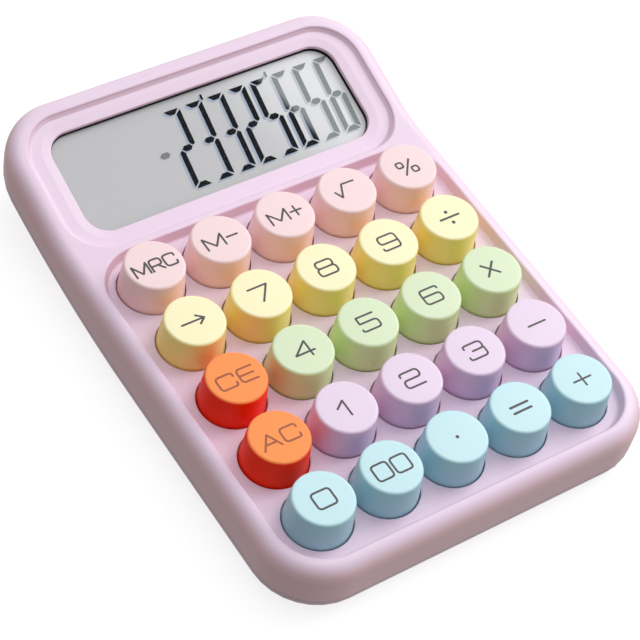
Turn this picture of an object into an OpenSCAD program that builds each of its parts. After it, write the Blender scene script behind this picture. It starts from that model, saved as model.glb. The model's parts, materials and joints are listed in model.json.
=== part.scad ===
// Desk calculator with 25 round keys in a sunken tray and a raised, tilted display.
// +X is to the right, +Y towards the display and +Z up. The origin is the middle of the
// outline, on the surface that the rubber feet stand on. Millimetres.

/* [Keys] */
// Distance between key centres, left to right
pitch_x = 19; // [18.8:0.1:21]
// Distance between key centres, front to back
pitch_y = 18.9; // [18.8:0.1:21]
// Radius of a key at its flat top
key_top_r = 7.7; // [6.5:0.1:8]
// Radius of a key at the tray floor
key_base_r = 8.35; // [8.1:0.05:8.4]
// Height of a key above the tray floor
key_h = 8.95; // [6:0.05:12]
// Rounding of a key's top edge
key_edge_r = 0.5; // [0.2:0.1:1]
// Wall of a key
key_wall = 1.3; // [1:0.1:2]
// Gap between a key and the hole it slides in
key_gap = 0.35; // [0.2:0.05:0.5]
// How far a key travels when it is pressed
key_travel = 2; // [1:0.1:2.5]
// Width of the flange that keeps a key in its hole
flange_w = 0.85; // [0.7:0.05:0.9]
// Thickness of that flange
flange_t = 0.9; // [0.6:0.1:1.5]
// Radius of the plunger inside a key
plunger_r = 1.8; // [1.2:0.1:2.4]

/* [Tray] */
// From the outer holes to the sides of the tray
tray_side = 3.3; // [2.5:0.1:6]
// From the front row's holes to the front of the tray
tray_front = 3.6; // [2.5:0.1:6]
// From the back row's holes to the back of the tray
tray_back = 2.2; // [2:0.1:6]
// Depth of the tray below the rim
tray_depth = 2.9; // [1.5:0.1:4]
// Corner radius of the tray
tray_corner_r = 12; // [9:0.5:14]
// Thickness of the plate that the keys pass through
plate_t = 1.8; // [1.2:0.1:3]

/* [Housing] */
// Rim beside and in front of the tray
rim_w = 5; // [4.6:0.1:8]
// Corner radius of the housing
corner_r = 16.5; // [14:0.5:20]
// How far the rounded shoulder reaches in from the side
shoulder_w = 4.4; // [2.5:0.1:4.5]
// How far the rounded shoulder reaches down the side
shoulder_h = 5.2; // [3:0.1:6]
// Side wall of the front housing
wall = 2; // [1.5:0.1:2.5]
// Floor and hump walls of the rear housing
floor_t = 1.6; // [1.2:0.1:2.2]
// Height of the parting line above the underside
seam_h = 3.5; // [3:0.1:5]
// Half the width of the bevel along the parting line
seam_bevel = 0.25; // [0.1:0.05:0.4]
// Rounding of the lower edge
base_r = 3; // [2:0.1:3.2]
// Radius of the underside's rise beneath the display
keel_r = 220; // [200:5:400]
// Gap between the housing halves' nested lips
lip_gap = 0.2; // [0.1:0.05:0.3]
// Thickness of the rear housing's lip
lip_t = 1; // [0.8:0.1:1.4]
// Height of that lip
lip_h = 1.4; // [1:0.1:2]

/* [Display] */
// Tilt of the display section
tilt = 15; // [14:0.5:17]
// Length of the display recess, up its slope
display_l = 39.3; // [39:0.1:46]
// Rim beside the display recess
display_rim = 5.6; // [5:0.1:8]
// Rim behind the display recess
back_rim = 5.7; // [5.5:0.1:9]
// Ridge between the tray and the display recess
ridge_w = 2; // [1.5:0.1:4]
// From the display recess to the middle of the bend
bend_lead = 6.65; // [6:0.05:8]
// Radius of the bend in the top
bend_r = 40; // [20:1:45]
// Corner radius of the display recess
recess_corner_r = 11.6; // [9:0.1:13]
// Depth of the flat ledge in the recess
ledge_depth = 1.25; // [0.8:0.05:1.6]
// Width of the recess's steep outer wall
recess_wall_w = 0.8; // [0.4:0.1:1.5]
// Bezel beside the window, outer wall included
bezel_side = 6.5; // [5:0.1:9]
// Bezel in front of the window
bezel_front = 5.4; // [4:0.1:6]
// Bezel behind the window
bezel_back = 4.7; // [4:0.1:6]
// Width of the slope down to the window
slope_w = 2.6; // [1.5:0.1:3]
// Drop of that slope
slope_drop = 0.35; // [0.1:0.05:0.5]
// Thickness of the bezel below the ledge
bezel_t = 1.3; // [1.1:0.1:2]
// Corner radius of the window
window_corner_r = 6.4; // [3:0.1:8]

/* [Display stack] */
// Width of the border by which glued parts overlap the window
overlap = 1.6; // [1.2:0.1:2]
// Gap around the lens in its opening
lens_gap = 0.15; // [0.05:0.05:0.3]
// How far the lens lies below the edge of its opening
lens_drop = 0.15; // [0.05:0.05:0.3]
// Thickness of the lens's flange
lens_flange_t = 0.7; // [0.5:0.1:1]
// Thickness of the lens tape
tape_t = 0.15; // [0.1:0.05:0.3]
// Thickness of each polariser
polariser_t = 0.2; // [0.15:0.05:0.3]
// Thickness of the liquid crystal glass
glass_t = 1.2; // [1:0.1:1.6]
// Width of the glass's contact strip along its front edge
contact_strip = 1; // [0.8:0.1:1.5]
// Wall of the frame around the glass
frame_wall = 1.2; // [0.8:0.1:1.5]
// Thickness of the frame's lip below the glass
frame_lip_t = 0.6; // [0.4:0.1:0.9]
// Running gap between stacked display parts
stack_gap = 0.1; // [0.05:0.05:0.2]

/* [Board] */
// Space between the floor and the board
board_clear = 2.1; // [2:0.1:4]
// Thickness of the board
board_t = 1.2; // [0.8:0.1:1.6]
// Thickness of the dome mat's web
mat_t = 0.8; // [0.6:0.1:1.2]
// Radius of a dome at its foot
dome_base_r = 4.8; // [4:0.1:6]
// Radius of a dome at its top
dome_top_r = 2.6; // [2:0.1:3]
// Wall of a dome
dome_wall = 0.5; // [0.4:0.1:0.7]
// Half the width of the board's tongue beneath the display
tongue_hw = 38; // [36:0.5:40]

/* [Battery bay] */
// Diameter of the battery
battery_d = 10.5; // [10.2:0.1:11]
// Length of the battery, button included
battery_l = 44.5; // [43.5:0.1:45.5]
// Length of the compressed contact spring
spring_l = 3.6; // [3:0.1:5]
// Thickness of the battery cover
cover_t = 1.4; // [1.2:0.1:2]
// How far the cover slides before it comes free
cover_travel = 15; // [8:1:15]
// Wall and roof of the battery bay
bay_wall = 1; // [0.8:0.1:1.4]
// Half the width of the hump beneath the display
hump_hw = 44; // [43:0.5:46]
// Corner radius of the hump
hump_corner_r = 6; // [3:0.5:9]

/* [Feet and fasteners] */
// Height of the rubber feet below the underside
foot_h = 1; // [0.6:0.1:2]
// Radius of a rubber foot
foot_r = 4.5; // [3:0.1:5]
// Depth of the pocket that a foot is glued into
foot_pocket = 0.5; // [0.3:0.1:0.8]
// Radius of a housing screw's shank
screw_r = 1.2; // [0.9:0.1:1.4]
// Radius of a housing screw's head
screw_head_r = 2.1; // [1.8:0.1:2.3]
// Radius of the bosses that housing screws bite in
boss_r = 3; // [2.6:0.1:3.2]
// Radius of a small screw's shank
small_screw_r = 0.9; // [0.7:0.1:1]
// Radius of a small screw's head
small_head_r = 1.8; // [1.5:0.1:2]
// Radius of the bosses that carry the board
board_boss_r = 2.4; // [2:0.1:2.6]

/* [Hidden] */
$fn = 48;
eps = 0.01;
// Segments of a rounded corner, and steps along a long side
corner_steps = 8;
side_steps = 30;
play = 0.1;
joint_gap = 0.3;
screw_fit = 0.05;

// Heights, from the feet up to the rim
floor_z = foot_h + floor_t;
board_z = floor_z + board_clear;
mat_z = board_z + board_t;
mat_top_z = mat_z + mat_t;
dome_over = 0.3;
dome_h = key_travel + dome_over;
dome_z = mat_top_z + dome_h;
plunger_z = dome_z + play;
mat_clear = 0.8;
flange_z = mat_top_z + key_travel + mat_clear;
plate_z = flange_z + flange_t + joint_gap;
tray_z = plate_z + plate_t;
rim_z = tray_z + tray_depth;
key_z = tray_z + key_h;

// Plan of the housing and the tray
cols = 5;
rows = 5;
hole_r = key_base_r + key_gap;
flange_r = key_base_r + flange_w;
tray_hw = (cols - 1) / 2 * pitch_x + hole_r + tray_side;
body_hw = tray_hw + rim_w;
tray_l = (rows - 1) * pitch_y + 2 * hole_r + tray_front + tray_back;
recess_y = rim_w + tray_l + ridge_w;
recess_front_v = -bend_lead * cos(tilt);
recess_back_v = recess_front_v + display_l;
body_l = recess_y + bend_lead + recess_back_v * cos(tilt) + back_rim;
front_y = -body_l / 2;
back_y = body_l / 2;
tray_y0 = front_y + rim_w;
tray_y1 = tray_y0 + tray_l;
bend_y = front_y + recess_y + bend_lead;
grid_y = tray_y0 + tray_front + hole_r + (rows - 1) / 2 * pitch_y;

// Outlines are [half width, front, back, corner radius]
housing_plan = [body_hw, front_y, back_y, corner_r];
tray_plan = [tray_hw, tray_y0, tray_y1, tray_corner_r];
recess_hw = body_hw - display_rim;
recess_plan = [recess_hw, recess_front_v, recess_back_v, recess_corner_r];
window_plan = [
    recess_hw - bezel_side, recess_front_v + bezel_front, recess_back_v - bezel_back, window_corner_r
];

// Depths below the display section's top, measured square to it
lip_depth = ledge_depth + slope_drop;
lens_depth = lip_depth + lens_drop;
bezel_depth = ledge_depth + bezel_t;
tape_depth = bezel_depth + tape_t;
flange_depth = tape_depth + lens_flange_t;
polariser_depth = flange_depth + stack_gap;
glass_depth = polariser_depth + polariser_t;
reflector_depth = glass_depth + glass_t;
stack_depth = reflector_depth + polariser_t;
frame_depth = stack_depth + frame_lip_t;

// Battery bay, as far forward as the display stack above it allows
battery_r = battery_d / 2;
battery_z = foot_h + cover_t + 0.2 + battery_r;
bay_play = 0.4;
bay_top_z = battery_z + battery_r + joint_gap + bay_wall;
bay_front_y = bend_y
    + (bay_top_z + joint_gap + stack_depth / cos(tilt) - rim_z) / tan(tilt);
battery_y = bay_front_y + bay_wall + bay_play + battery_r;
hump_back_y = battery_y + battery_r + bay_play + bay_wall;
hump_lead = 25;
hump_front_y = bend_y - hump_lead;
hump_plan = [hump_hw, hump_front_y, hump_back_y, hump_corner_r];
contact_t = 0.4;
bay_x0 = -battery_l / 2 - spring_l - contact_t - play;
bay_x1 = battery_l / 2 + contact_t + play;
cover_hw = battery_l / 2 + spring_l + contact_t + 3;
cover_y0 = bay_front_y - 3;
cover_lip = 1;
cover_lip_t = 0.6;
cover_gap = 0.15;
seat_hw = cover_hw + cover_lip + 1.5;
seat_z = foot_h + cover_t + 1.4;

// Fastener and foot places
half_row = 0.5;
row_and_half = 1.5;
boss_x = row_and_half * pitch_x;
side_boss_x = body_hw - wall - boss_r - 0.2;
side_boss_lead = 13;
side_boss_y = bend_y + side_boss_lead;
housing_boss_places = [
    for (sx = [-1, 1]) each [
        [sx * boss_x, grid_y - row_and_half * pitch_y],
        [sx * boss_x, grid_y + row_and_half * pitch_y],
        [sx * side_boss_x, side_boss_y]
    ]
];
board_boss_places = [
    for (sx = [-1, 1]) each [
        [sx * half_row * pitch_x, grid_y - row_and_half * pitch_y],
        [sx * half_row * pitch_x, grid_y + row_and_half * pitch_y],
        [sx * boss_x, grid_y - half_row * pitch_y]
    ]
];
// How far the feet stand in from the outline, and from the hump's sides and back
foot_in_x = 11;
foot_in_y = 13;
hump_foot_in_x = 7;
hump_foot_in_y = 7.5;
foot_places = [
    for (sx = [-1, 1]) each [
        [sx * (body_hw - foot_in_x), front_y + foot_in_y],
        [sx * (hump_hw - hump_foot_in_x), hump_back_y - hump_foot_in_y]
    ]
];
head_t = 1.2;
head_recess = 0.8;
small_head_t = 0.9;

// Keys: name, column, row from the back, colour
PINK = "#f4d3da";
YELLOW = "#fbf2b4";
GREEN = "#c9e5ae";
LILAC = "#dcc8ee";
BLUE = "#a9dfec";
ORANGE = "#f8752f";
BODY = "#e2cbe6";
KEYS = [
    ["keycap_memory_recall", 0, 0, PINK], ["keycap_memory_minus", 1, 0, PINK],
    ["keycap_memory_plus", 2, 0, PINK], ["keycap_square_root", 3, 0, PINK],
    ["keycap_percent", 4, 0, PINK],
    ["keycap_backspace", 0, 1, YELLOW], ["keycap_7", 1, 1, YELLOW], ["keycap_8", 2, 1, YELLOW],
    ["keycap_9", 3, 1, YELLOW], ["keycap_divide", 4, 1, YELLOW],
    ["keycap_clear_entry", 0, 2, ORANGE], ["keycap_4", 1, 2, GREEN], ["keycap_5", 2, 2, GREEN],
    ["keycap_6", 3, 2, GREEN], ["keycap_multiply", 4, 2, GREEN],
    ["keycap_all_clear", 0, 3, ORANGE], ["keycap_1", 1, 3, LILAC], ["keycap_2", 2, 3, LILAC],
    ["keycap_3", 3, 3, LILAC], ["keycap_minus", 4, 3, LILAC],
    ["keycap_0", 0, 4, BLUE], ["keycap_00", 1, 4, BLUE], ["keycap_point", 2, 4, BLUE],
    ["keycap_equals", 3, 4, BLUE], ["keycap_plus", 4, 4, BLUE]
];

// ---- Outlines and skins -------------------------------------------------------------

function key_x(c) = (c - (cols - 1) / 2) * pitch_x;
function key_y(r) = grid_y + ((rows - 1) / 2 - r) * pitch_y;
function inset(plan, d) = [plan[0] - d, plan[1] + d, plan[2] - d, max(plan[3] - d, 0.3)];
function blend(a, b, t) = a * (1 - t) + b * t;

// Right half of a rounded rectangle, from its front to its back
function half_outline(plan, steps) =
    let (hw = plan[0], y0 = plan[1], y1 = plan[2], r = plan[3])
    concat(
        [for (i = [0:corner_steps]) let (a = 90 * i / corner_steps - 90)
            [hw - r + r * cos(a), y0 + r + r * sin(a)]],
        [for (i = [1:1:steps - 1]) [hw, blend(y0 + r, y1 - r, i / steps)]],
        [for (i = [0:corner_steps]) let (a = 90 * i / corner_steps)
            [hw - r + r * cos(a), y1 - r + r * sin(a)]]
    );

// Whole outline: the right half, then the left half back to the front
function outline(plan, steps = 1) =
    let (h = half_outline(plan, steps))
    concat(h, [for (i = [len(h) - 1:-1:0]) [-h[i][0], h[i][1]]]);

// A closed ring whose height is a function of y
function ring(plan, height, steps = side_steps) =
    [for (p = outline(plan, steps)) [p[0], p[1], height(p[1])]];

// Solid between rings of equal point counts, lowest ring first
module skin(rings) {
    n = len(rings[0]);
    top = (len(rings) - 1) * n;
    sides = [
        for (k = [0:len(rings) - 2], i = [0:n - 1])
        let (a = k * n + i, b = k * n + (i + 1) % n)
        each [[a, a + n, b + n], [a, b + n, b]]
    ];
    strips = [for (i = [0:n / 2 - 2]) [i, i + 1, n - 2 - i, n - 1 - i]];
    polyhedron(
        points = [for (r = rings) each r],
        faces = concat(
            sides,
            [for (s = strips) s],
            [for (s = strips) [top + s[3], top + s[2], top + s[1], top + s[0]]]
        )
    );
}

module plate(plan, z0, z1) {
    translate([0, 0, z0])
        linear_extrude(z1 - z0)
            polygon(outline(plan));
}

// The display section's own frame: its top surface is z = 0, its bend line is y = 0
module tilted() {
    translate([0, bend_y, rim_z])
        rotate([tilt, 0, 0])
            children();
}

// Top of the housing: level, then an arc, then the display's slope
bend_y0 = bend_y - bend_r * tan(tilt / 2);
bend_y1 = bend_y0 + bend_r * sin(tilt);
function top_z(y) =
    y < bend_y0 ? rim_z
    : y < bend_y1 ? rim_z + bend_r - sqrt(pow(bend_r, 2) - pow(y - bend_y0, 2))
    : rim_z + (y - bend_y) * tan(tilt);

// Underside: level, then rising beneath the display
function keel_z(y) = foot_h + pow(max(0, y), 2) / (2 * keel_r);
function seam_z(y) = keel_z(y) + seam_h;

// Sweep of a round wire along a list of points
function unit(v) = v / norm(v);
function wire_ring(p, dir, ref, r, sides = 8) =
    let (u = unit(cross(ref, dir)), w = cross(unit(dir), u))
    [for (k = [0:sides - 1]) p + r * (cos(360 * k / sides) * u + sin(360 * k / sides) * w)];
module wire(points, r, ref) {
    last = len(points) - 1;
    skin([
        for (i = [0:last])
        wire_ring(points[i], points[min(i + 1, last)] - points[max(i - 1, 0)], ref, r)
    ]);
}

// ---- Housings -----------------------------------------------------------------------

shoulder_turns = 6;
module front_shell() {
    skin(concat(
        [
            ring(inset(housing_plan, seam_bevel), function(y) seam_z(y)),
            ring(housing_plan, function(y) seam_z(y) + seam_bevel)
        ],
        [
            for (i = [0:shoulder_turns])
            let (a = 90 * i / shoulder_turns)
            ring(
                inset(housing_plan, shoulder_w * (1 - cos(a))),
                function(y) top_z(y) - shoulder_h * (1 - sin(a))
            )
        ]
    ));
}

// Sunken tray: rounded crest and a nearly upright wall, open below for the key plate
crest_r = 0.6;
tray_wall_w = 0.5;
fillet_turns = 4;
module tray_pocket() {
    foot_plan = inset(tray_plan, tray_wall_w);
    skin(concat(
        [
            ring(foot_plan, function(y) plate_z - 1, 1),
            ring(foot_plan, function(y) tray_z, 1)
        ],
        [
            for (i = [0:fillet_turns])
            let (a = 90 * i / fillet_turns)
            ring(
                inset(tray_plan, crest_r * (cos(a) - 1)),
                function(y) rim_z - crest_r * (1 - sin(a)),
                1
            )
        ],
        [ring(inset(tray_plan, -crest_r), function(y) rim_z + 3, 1)]
    ));
}

// The key plate is set into the front housing from below, against the foot of the tray's
// wall, and welded to it all round
plate_overlap = 1.6;
key_plate_plan = inset(tray_plan, -plate_overlap);

// Display recess: steep outer wall, flat ledge, then a slope to the window
module recess_pocket() {
    ledge_plan = inset(recess_plan, recess_wall_w);
    inner = window_plan;
    slope_plan = [
        inner[0] + slope_w, inner[1] - slope_w, inner[2] + slope_w, inner[3] + slope_w
    ];
    skin([
        ring(inner, function(y) -bezel_depth - 1, 1),
        ring(inner, function(y) -lip_depth, 1),
        ring(slope_plan, function(y) -ledge_depth, 1),
        ring(ledge_plan, function(y) -ledge_depth, 1),
        ring(recess_plan, function(y) -crest_r / 2, 1),
        ring(inset(recess_plan, -crest_r / 2), function(y) 0, 1),
        ring(inset(recess_plan, -crest_r / 2), function(y) 8, 1)
    ]);
}

// Everything inside the front housing's walls, below the key plate and the bezel
module front_cavity() {
    slope_z = rim_z - bezel_depth / cos(tilt);
    corner_y = bend_y + (plate_z - slope_z) / tan(tilt);
    intersection() {
        plate(inset(housing_plan, wall), -1, 3 * rim_z);
        rotate([90, 0, 90])
            linear_extrude(4 * body_hw, center = true)
                polygon([
                    [-body_l, -1], [body_l, -1],
                    [body_l, slope_z + (body_l - bend_y) * tan(tilt)],
                    [corner_y, plate_z], [-body_l, plate_z]
                ]);
    }
}

// Bosses hang from the key plate, or from the rim beside the display
function is_side(p) = abs(p[0]) > boss_x + 1;
function split_z(p) = is_side(p) ? seam_z(p[1] + boss_r) + lip_h + joint_gap : board_z - play;
function ceiling_z(p) =
    is_side(p) ? rim_z + (p[1] - bend_y) * tan(tilt) - bezel_depth / cos(tilt) : plate_z;
function seat_floor_z(p) = (is_side(p) ? keel_z(p[1]) : foot_h) + head_recess + head_t;

// How far a boss or a rib runs into the plate that it hangs from
boss_root = 0.6;
rib_w = 1.2;
rib_t = 1;
// Gap between a rib's lower end and the dome mat
rib_clear = 0.6;

module boss(p) {
    translate([p[0], p[1], split_z(p)])
        cylinder(h = ceiling_z(p) + boss_root - split_z(p), r = boss_r);
}
module boss_bore(p) {
    translate([p[0], p[1], split_z(p) - 1])
        cylinder(h = ceiling_z(p) - split_z(p), r = screw_r + screw_fit);
}
module front_housing() {
    color(BODY)
    difference() {
        union() {
            difference() {
                front_shell();
                front_cavity();
            }
            for (p = housing_boss_places)
                if (is_side(p)) boss(p);
        }
        tray_pocket();
        plate(inset(key_plate_plan, -play), plate_z - 1, tray_z);
        tilted() recess_pocket();
        for (p = housing_boss_places)
            if (is_side(p)) boss_bore(p);
        tilted() lcd_screw_places()
            translate([0, 0, -bezel_depth - 1])
                cylinder(h = 2.8, r = small_screw_r + screw_fit);
    }
}
module key_plate() {
    color(BODY)
    difference() {
        union() {
            plate(key_plate_plan, plate_z, tray_z);
            for (p = housing_boss_places)
                if (!is_side(p)) boss(p);
            for (p = board_boss_places)
                translate([p[0], p[1], mat_z])
                    cylinder(h = plate_z + boss_root - mat_z, r = board_boss_r);
            for (c = [0:cols - 1], r = [0:rows])
                translate([
                    key_x(c) - rib_w / 2, key_y(r) + pitch_y / 2 - rib_t / 2,
                    mat_top_z + rib_clear
                ])
                    cube([rib_w, rib_t, plate_z + boss_root - mat_top_z - rib_clear]);
        }
        for (k = KEYS)
            translate([key_x(k[1]), key_y(k[2]), plate_z - 1])
                cylinder(h = plate_t + 2, r = hole_r);
        for (p = housing_boss_places)
            if (!is_side(p)) boss_bore(p);
        for (p = board_boss_places)
            translate([p[0], p[1], mat_z - 1])
                cylinder(h = plate_z - mat_z, r = small_screw_r + screw_fit);
    }
}

module rear_shell() {
    skin(concat(
        [
            for (i = [0:fillet_turns])
            let (a = 90 * i / fillet_turns)
            ring(
                inset(housing_plan, base_r * (1 - sin(a))),
                function(y) keel_z(y) + base_r * (1 - cos(a))
            )
        ],
        [
            ring(housing_plan, function(y) seam_z(y) - seam_bevel),
            ring(inset(housing_plan, seam_bevel), function(y) seam_z(y) - eps)
        ]
    ));
}

lip_inset = wall + lip_gap;
pocket_inset = lip_inset + lip_t;
module rear_lip() {
    skin([
        ring(inset(housing_plan, lip_inset), function(y) seam_z(y) - 1),
        ring(inset(housing_plan, lip_inset), function(y) seam_z(y) + lip_h)
    ]);
}
module rear_pocket() {
    skin([
        ring(inset(housing_plan, pocket_inset + 1.2), function(y) keel_z(y) + floor_t),
        ring(inset(housing_plan, pocket_inset), function(y) keel_z(y) + floor_t + 1.2),
        ring(inset(housing_plan, pocket_inset), function(y) 2 * rim_z)
    ]);
}
module hump_block() {
    plate(hump_plan, foot_h, keel_z(hump_back_y) + floor_t);
}
module hump_pocket() {
    plate(inset(hump_plan, floor_t), floor_z, 2 * rim_z);
}
module bay_block() {
    translate([bay_x0 - bay_wall, bay_front_y, foot_h])
        cube([bay_x1 - bay_x0 + 2 * bay_wall, hump_back_y - bay_front_y, bay_top_z - foot_h]);
    translate([-seat_hw, cover_y0 - 1.5, foot_h])
        cube([2 * seat_hw, hump_back_y - cover_y0 + 1.5, seat_z - foot_h]);
}
module bay_hollow() {
    translate([bay_x0, bay_front_y + bay_wall, foot_h - 1])
        cube([bay_x1 - bay_x0, battery_d + 2 * bay_play, bay_top_z - bay_wall - foot_h + 1]);
    cover_blank(cover_gap, cover_travel);
    for (x = contact_places)
        translate([x - contact_t / 2 - play, bay_front_y - 1, battery_z - 2 - play])
            cube([contact_t + 2 * play, bay_wall + 2, 4 + 2 * play]);
}

module rear_housing() {
    color("#d8cbd6")
    difference() {
        union() {
            difference() {
                union() {
                    rear_shell();
                    rear_lip();
                    hump_block();
                }
                rear_pocket();
                hump_pocket();
            }
            bay_block();
            for (p = housing_boss_places)
                translate([p[0], p[1], is_side(p) ? keel_z(p[1]) + 0.5 : foot_h + 0.5])
                    cylinder(
                        h = split_z(p) - play - (is_side(p) ? keel_z(p[1]) : foot_h) - 0.5,
                        r = boss_r
                    );
        }
        bay_hollow();
        for (p = housing_boss_places)
            translate([p[0], p[1], 0]) {
                cylinder(h = seat_floor_z(p), r = screw_head_r + 0.3);
                cylinder(h = 2 * rim_z, r = screw_r + 0.2);
            }
        for (p = foot_places)
            translate([p[0], p[1], foot_h - 1])
                cylinder(h = 1 + foot_pocket, r = foot_r + play);
    }
}

// The cover's outline, grown by a gap and drawn out along its slide for the cut
module cover_blank(gap = 0, run = 0) {
    l = hump_back_y - cover_y0 + gap + run;
    translate([-cover_hw - gap, cover_y0 - gap, foot_h - (run > 0 ? 1 : 0)])
        cube([2 * (cover_hw + gap), l, cover_t + gap + (run > 0 ? 1 : 0)]);
    translate([-cover_hw - cover_lip - gap, cover_y0 - gap, foot_h + cover_t - cover_lip_t - gap])
        cube([2 * (cover_hw + cover_lip + gap), l, cover_lip_t + 2 * gap]);
}
// Finger grip: shallow grooves across the cover
grip_count = 5;
grip_pitch = 1.6;
grip_hw = 8;
grip_w = 0.8;
grip_lead = 3;
grip_depth = 0.5;
module battery_cover() {
    color("#d8cbd6")
    difference() {
        cover_blank();
        for (i = [0:grip_count - 1])
            translate([-grip_hw, cover_y0 + grip_lead + i * grip_pitch, foot_h - grip_depth])
                cube([2 * grip_hw, grip_w, 2 * grip_depth]);
    }
}

// ---- Keys ---------------------------------------------------------------------------

edge_turns = 4;
module keycap(k) {
    top = key_z;
    color(k[3])
    translate([key_x(k[1]), key_y(k[2]), 0])
    difference() {
        rotate_extrude()
            polygon(concat(
                [
                    [0, top], [0, plunger_z], [plunger_r, plunger_z], [plunger_r, top - key_wall],
                    [key_top_r - key_wall, top - key_wall], [key_base_r - key_wall, flange_z],
                    [flange_r, flange_z], [flange_r, flange_z + flange_t],
                    [key_base_r, flange_z + flange_t], [key_base_r, tray_z]
                ],
                [
                    for (i = [0:edge_turns])
                    let (a = 90 * i / edge_turns)
                    [key_top_r - key_edge_r * (1 - cos(a)), top - key_edge_r * (1 - sin(a))]
                ]
            ));
        for (s = [-1, 1])
            translate([
                -rib_w / 2 - joint_gap, s * pitch_y / 2 - rib_t / 2 - joint_gap, flange_z - 1
            ])
                cube([rib_w + 2 * joint_gap, rib_t + 2 * joint_gap, flange_t + 1.5]);
    }
}

// ---- Display stack ------------------------------------------------------------------

glued_plan = [
    window_plan[0] + overlap, window_plan[1] - overlap, window_plan[2] + overlap,
    window_plan[3] + overlap
];
glass_plan = [
    glued_plan[0], glued_plan[1] - contact_strip, glued_plan[2], 0.8
];
frame_hole = inset(glass_plan, -0.2);
frame_plan = inset(frame_hole, -frame_wall);
tab_w = 5;
tab_t = 1.2;
lcd_screw_x = body_hw - wall - small_head_r - 0.2;
tab_ys = [frame_plan[1] + 4, frame_plan[2] - 11.5];
module lcd_screw_places() {
    for (sx = [-1, 1], y = tab_ys)
        translate([sx * lcd_screw_x, y, 0])
            children();
}

module display_lens() {
    color([0.8, 0.85, 0.85, 0.35])
    tilted() union() {
        plate(inset(window_plan, lens_gap), -flange_depth, -lens_depth);
        plate(glued_plan, -flange_depth, -tape_depth);
    }
}
module lens_tape() {
    color("white")
    tilted() difference() {
        plate(glued_plan, -tape_depth, -bezel_depth);
        plate(inset(window_plan, -0.3), -tape_depth - 1, 0);
    }
}
module front_polariser() {
    color("#b9bcb9")
    tilted() plate(glued_plan, -glass_depth, -polariser_depth);
}
module lcd_glass() {
    color("#c9d2cf")
    tilted() plate(glass_plan, -reflector_depth, -glass_depth);
}
module rear_polariser() {
    color("#9aa09c")
    tilted() plate(glued_plan, -stack_depth, -reflector_depth);
}
flex_hw = 29;
// Radius of the battery wires, and how far they run outside the flat cable
wire_r = 0.5;
wire_lead = 2.6;
module lcd_frame() {
    color("#f2f2ee")
    tilted() difference() {
        union() {
            plate(frame_plan, -frame_depth, -bezel_depth - stack_gap);
            for (y = tab_ys)
                translate([-lcd_screw_x - small_head_r, y - tab_w / 2, -bezel_depth - stack_gap - tab_t])
                    cube([2 * (lcd_screw_x + small_head_r), tab_w, tab_t]);
        }
        plate(frame_hole, -stack_depth, 0);
        plate(inset(glued_plan, 1.5), -2 * frame_depth, 0);
        translate([-flex_hw - 1, frame_hole[1], -2 * frame_depth])
            cube([2 * flex_hw + 2, 6, 2 * frame_depth]);
        lcd_screw_places()
            translate([0, 0, -2 * frame_depth])
                cylinder(h = 2 * frame_depth, r = small_screw_r + 0.2);
    }
}
module small_screw(shank) {
    translate([0, 0, -small_head_t])
        difference() {
            cylinder(h = small_head_t, r = small_head_r);
            translate([0, 0, -0.5]) cross_slot();
        }
    cylinder(h = shank, r = small_screw_r);
}
module cross_slot() {
    for (a = [0, 90])
        rotate([0, 0, a])
            translate([-1.2, -0.25, 0])
                cube([2.4, 0.5, 1]);
}
module lcd_screws() {
    color("silver")
    tilted() lcd_screw_places()
        translate([0, 0, -bezel_depth - stack_gap - tab_t])
            small_screw(tab_t + 1.7);
}

// Flat cable from the glass's contact strip to the board, as a side view
flex_t = 0.15;
function slope_point(v, w) = [
    bend_y + v * cos(tilt) - w * sin(tilt), rim_z + v * sin(tilt) + w * cos(tilt)
];
flex_start = slope_point(glass_plan[1] + 0.2, -reflector_depth);
flex_lift = slope_point(glued_plan[1] - 0.3, -reflector_depth);
flex_end_y = bend_y + 8;
flex_path = concat(
    [flex_start, flex_lift],
    [
        for (i = [1:5])
        let (t = i / 6, s = (1 - cos(180 * t)) / 2)
        [blend(flex_lift[0], flex_end_y - 2, t), blend(flex_lift[1] - 0.4, mat_z + flex_t, s)]
    ],
    [[flex_end_y - 2, mat_z + flex_t], [flex_end_y, mat_z + flex_t]]
);
module lcd_flex_cable() {
    color("#d8a24a")
    rotate([90, 0, 90])
        linear_extrude(2 * flex_hw, center = true)
            polygon(concat(
                flex_path,
                [for (i = [len(flex_path) - 1:-1:0]) flex_path[i] - [0, flex_t]]
            ));
}

// ---- Board and mat ------------------------------------------------------------------

board_gap = 1.4;
board_plan = [
    body_hw - pocket_inset - board_gap, front_y + pocket_inset + board_gap, tray_y1 - 1.5,
    corner_r - pocket_inset - board_gap
];
board_back_y = flex_end_y + 0.6;
tongue_root = 20;
tongue_front_y = board_plan[2] - tongue_root;
module main_board() {
    color("#2f7d4f")
    difference() {
        union() {
            plate(board_plan, board_z, mat_z);
            translate([-tongue_hw, tongue_front_y, board_z])
                cube([2 * tongue_hw, board_back_y - tongue_front_y, board_t]);
        }
        for (p = housing_boss_places)
            translate([p[0], p[1], board_z - 1])
                cylinder(h = board_t + 2, r = boss_r + 0.4);
        for (p = board_boss_places)
            translate([p[0], p[1], board_z - 1])
                cylinder(h = board_t + 2, r = small_screw_r + 0.2);
    }
}
mat_plan = [board_plan[0] - 1.5, board_plan[1] + 1.5, board_plan[2] - 1, board_plan[3] - 1.5];
pill_t = 0.5;
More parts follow.
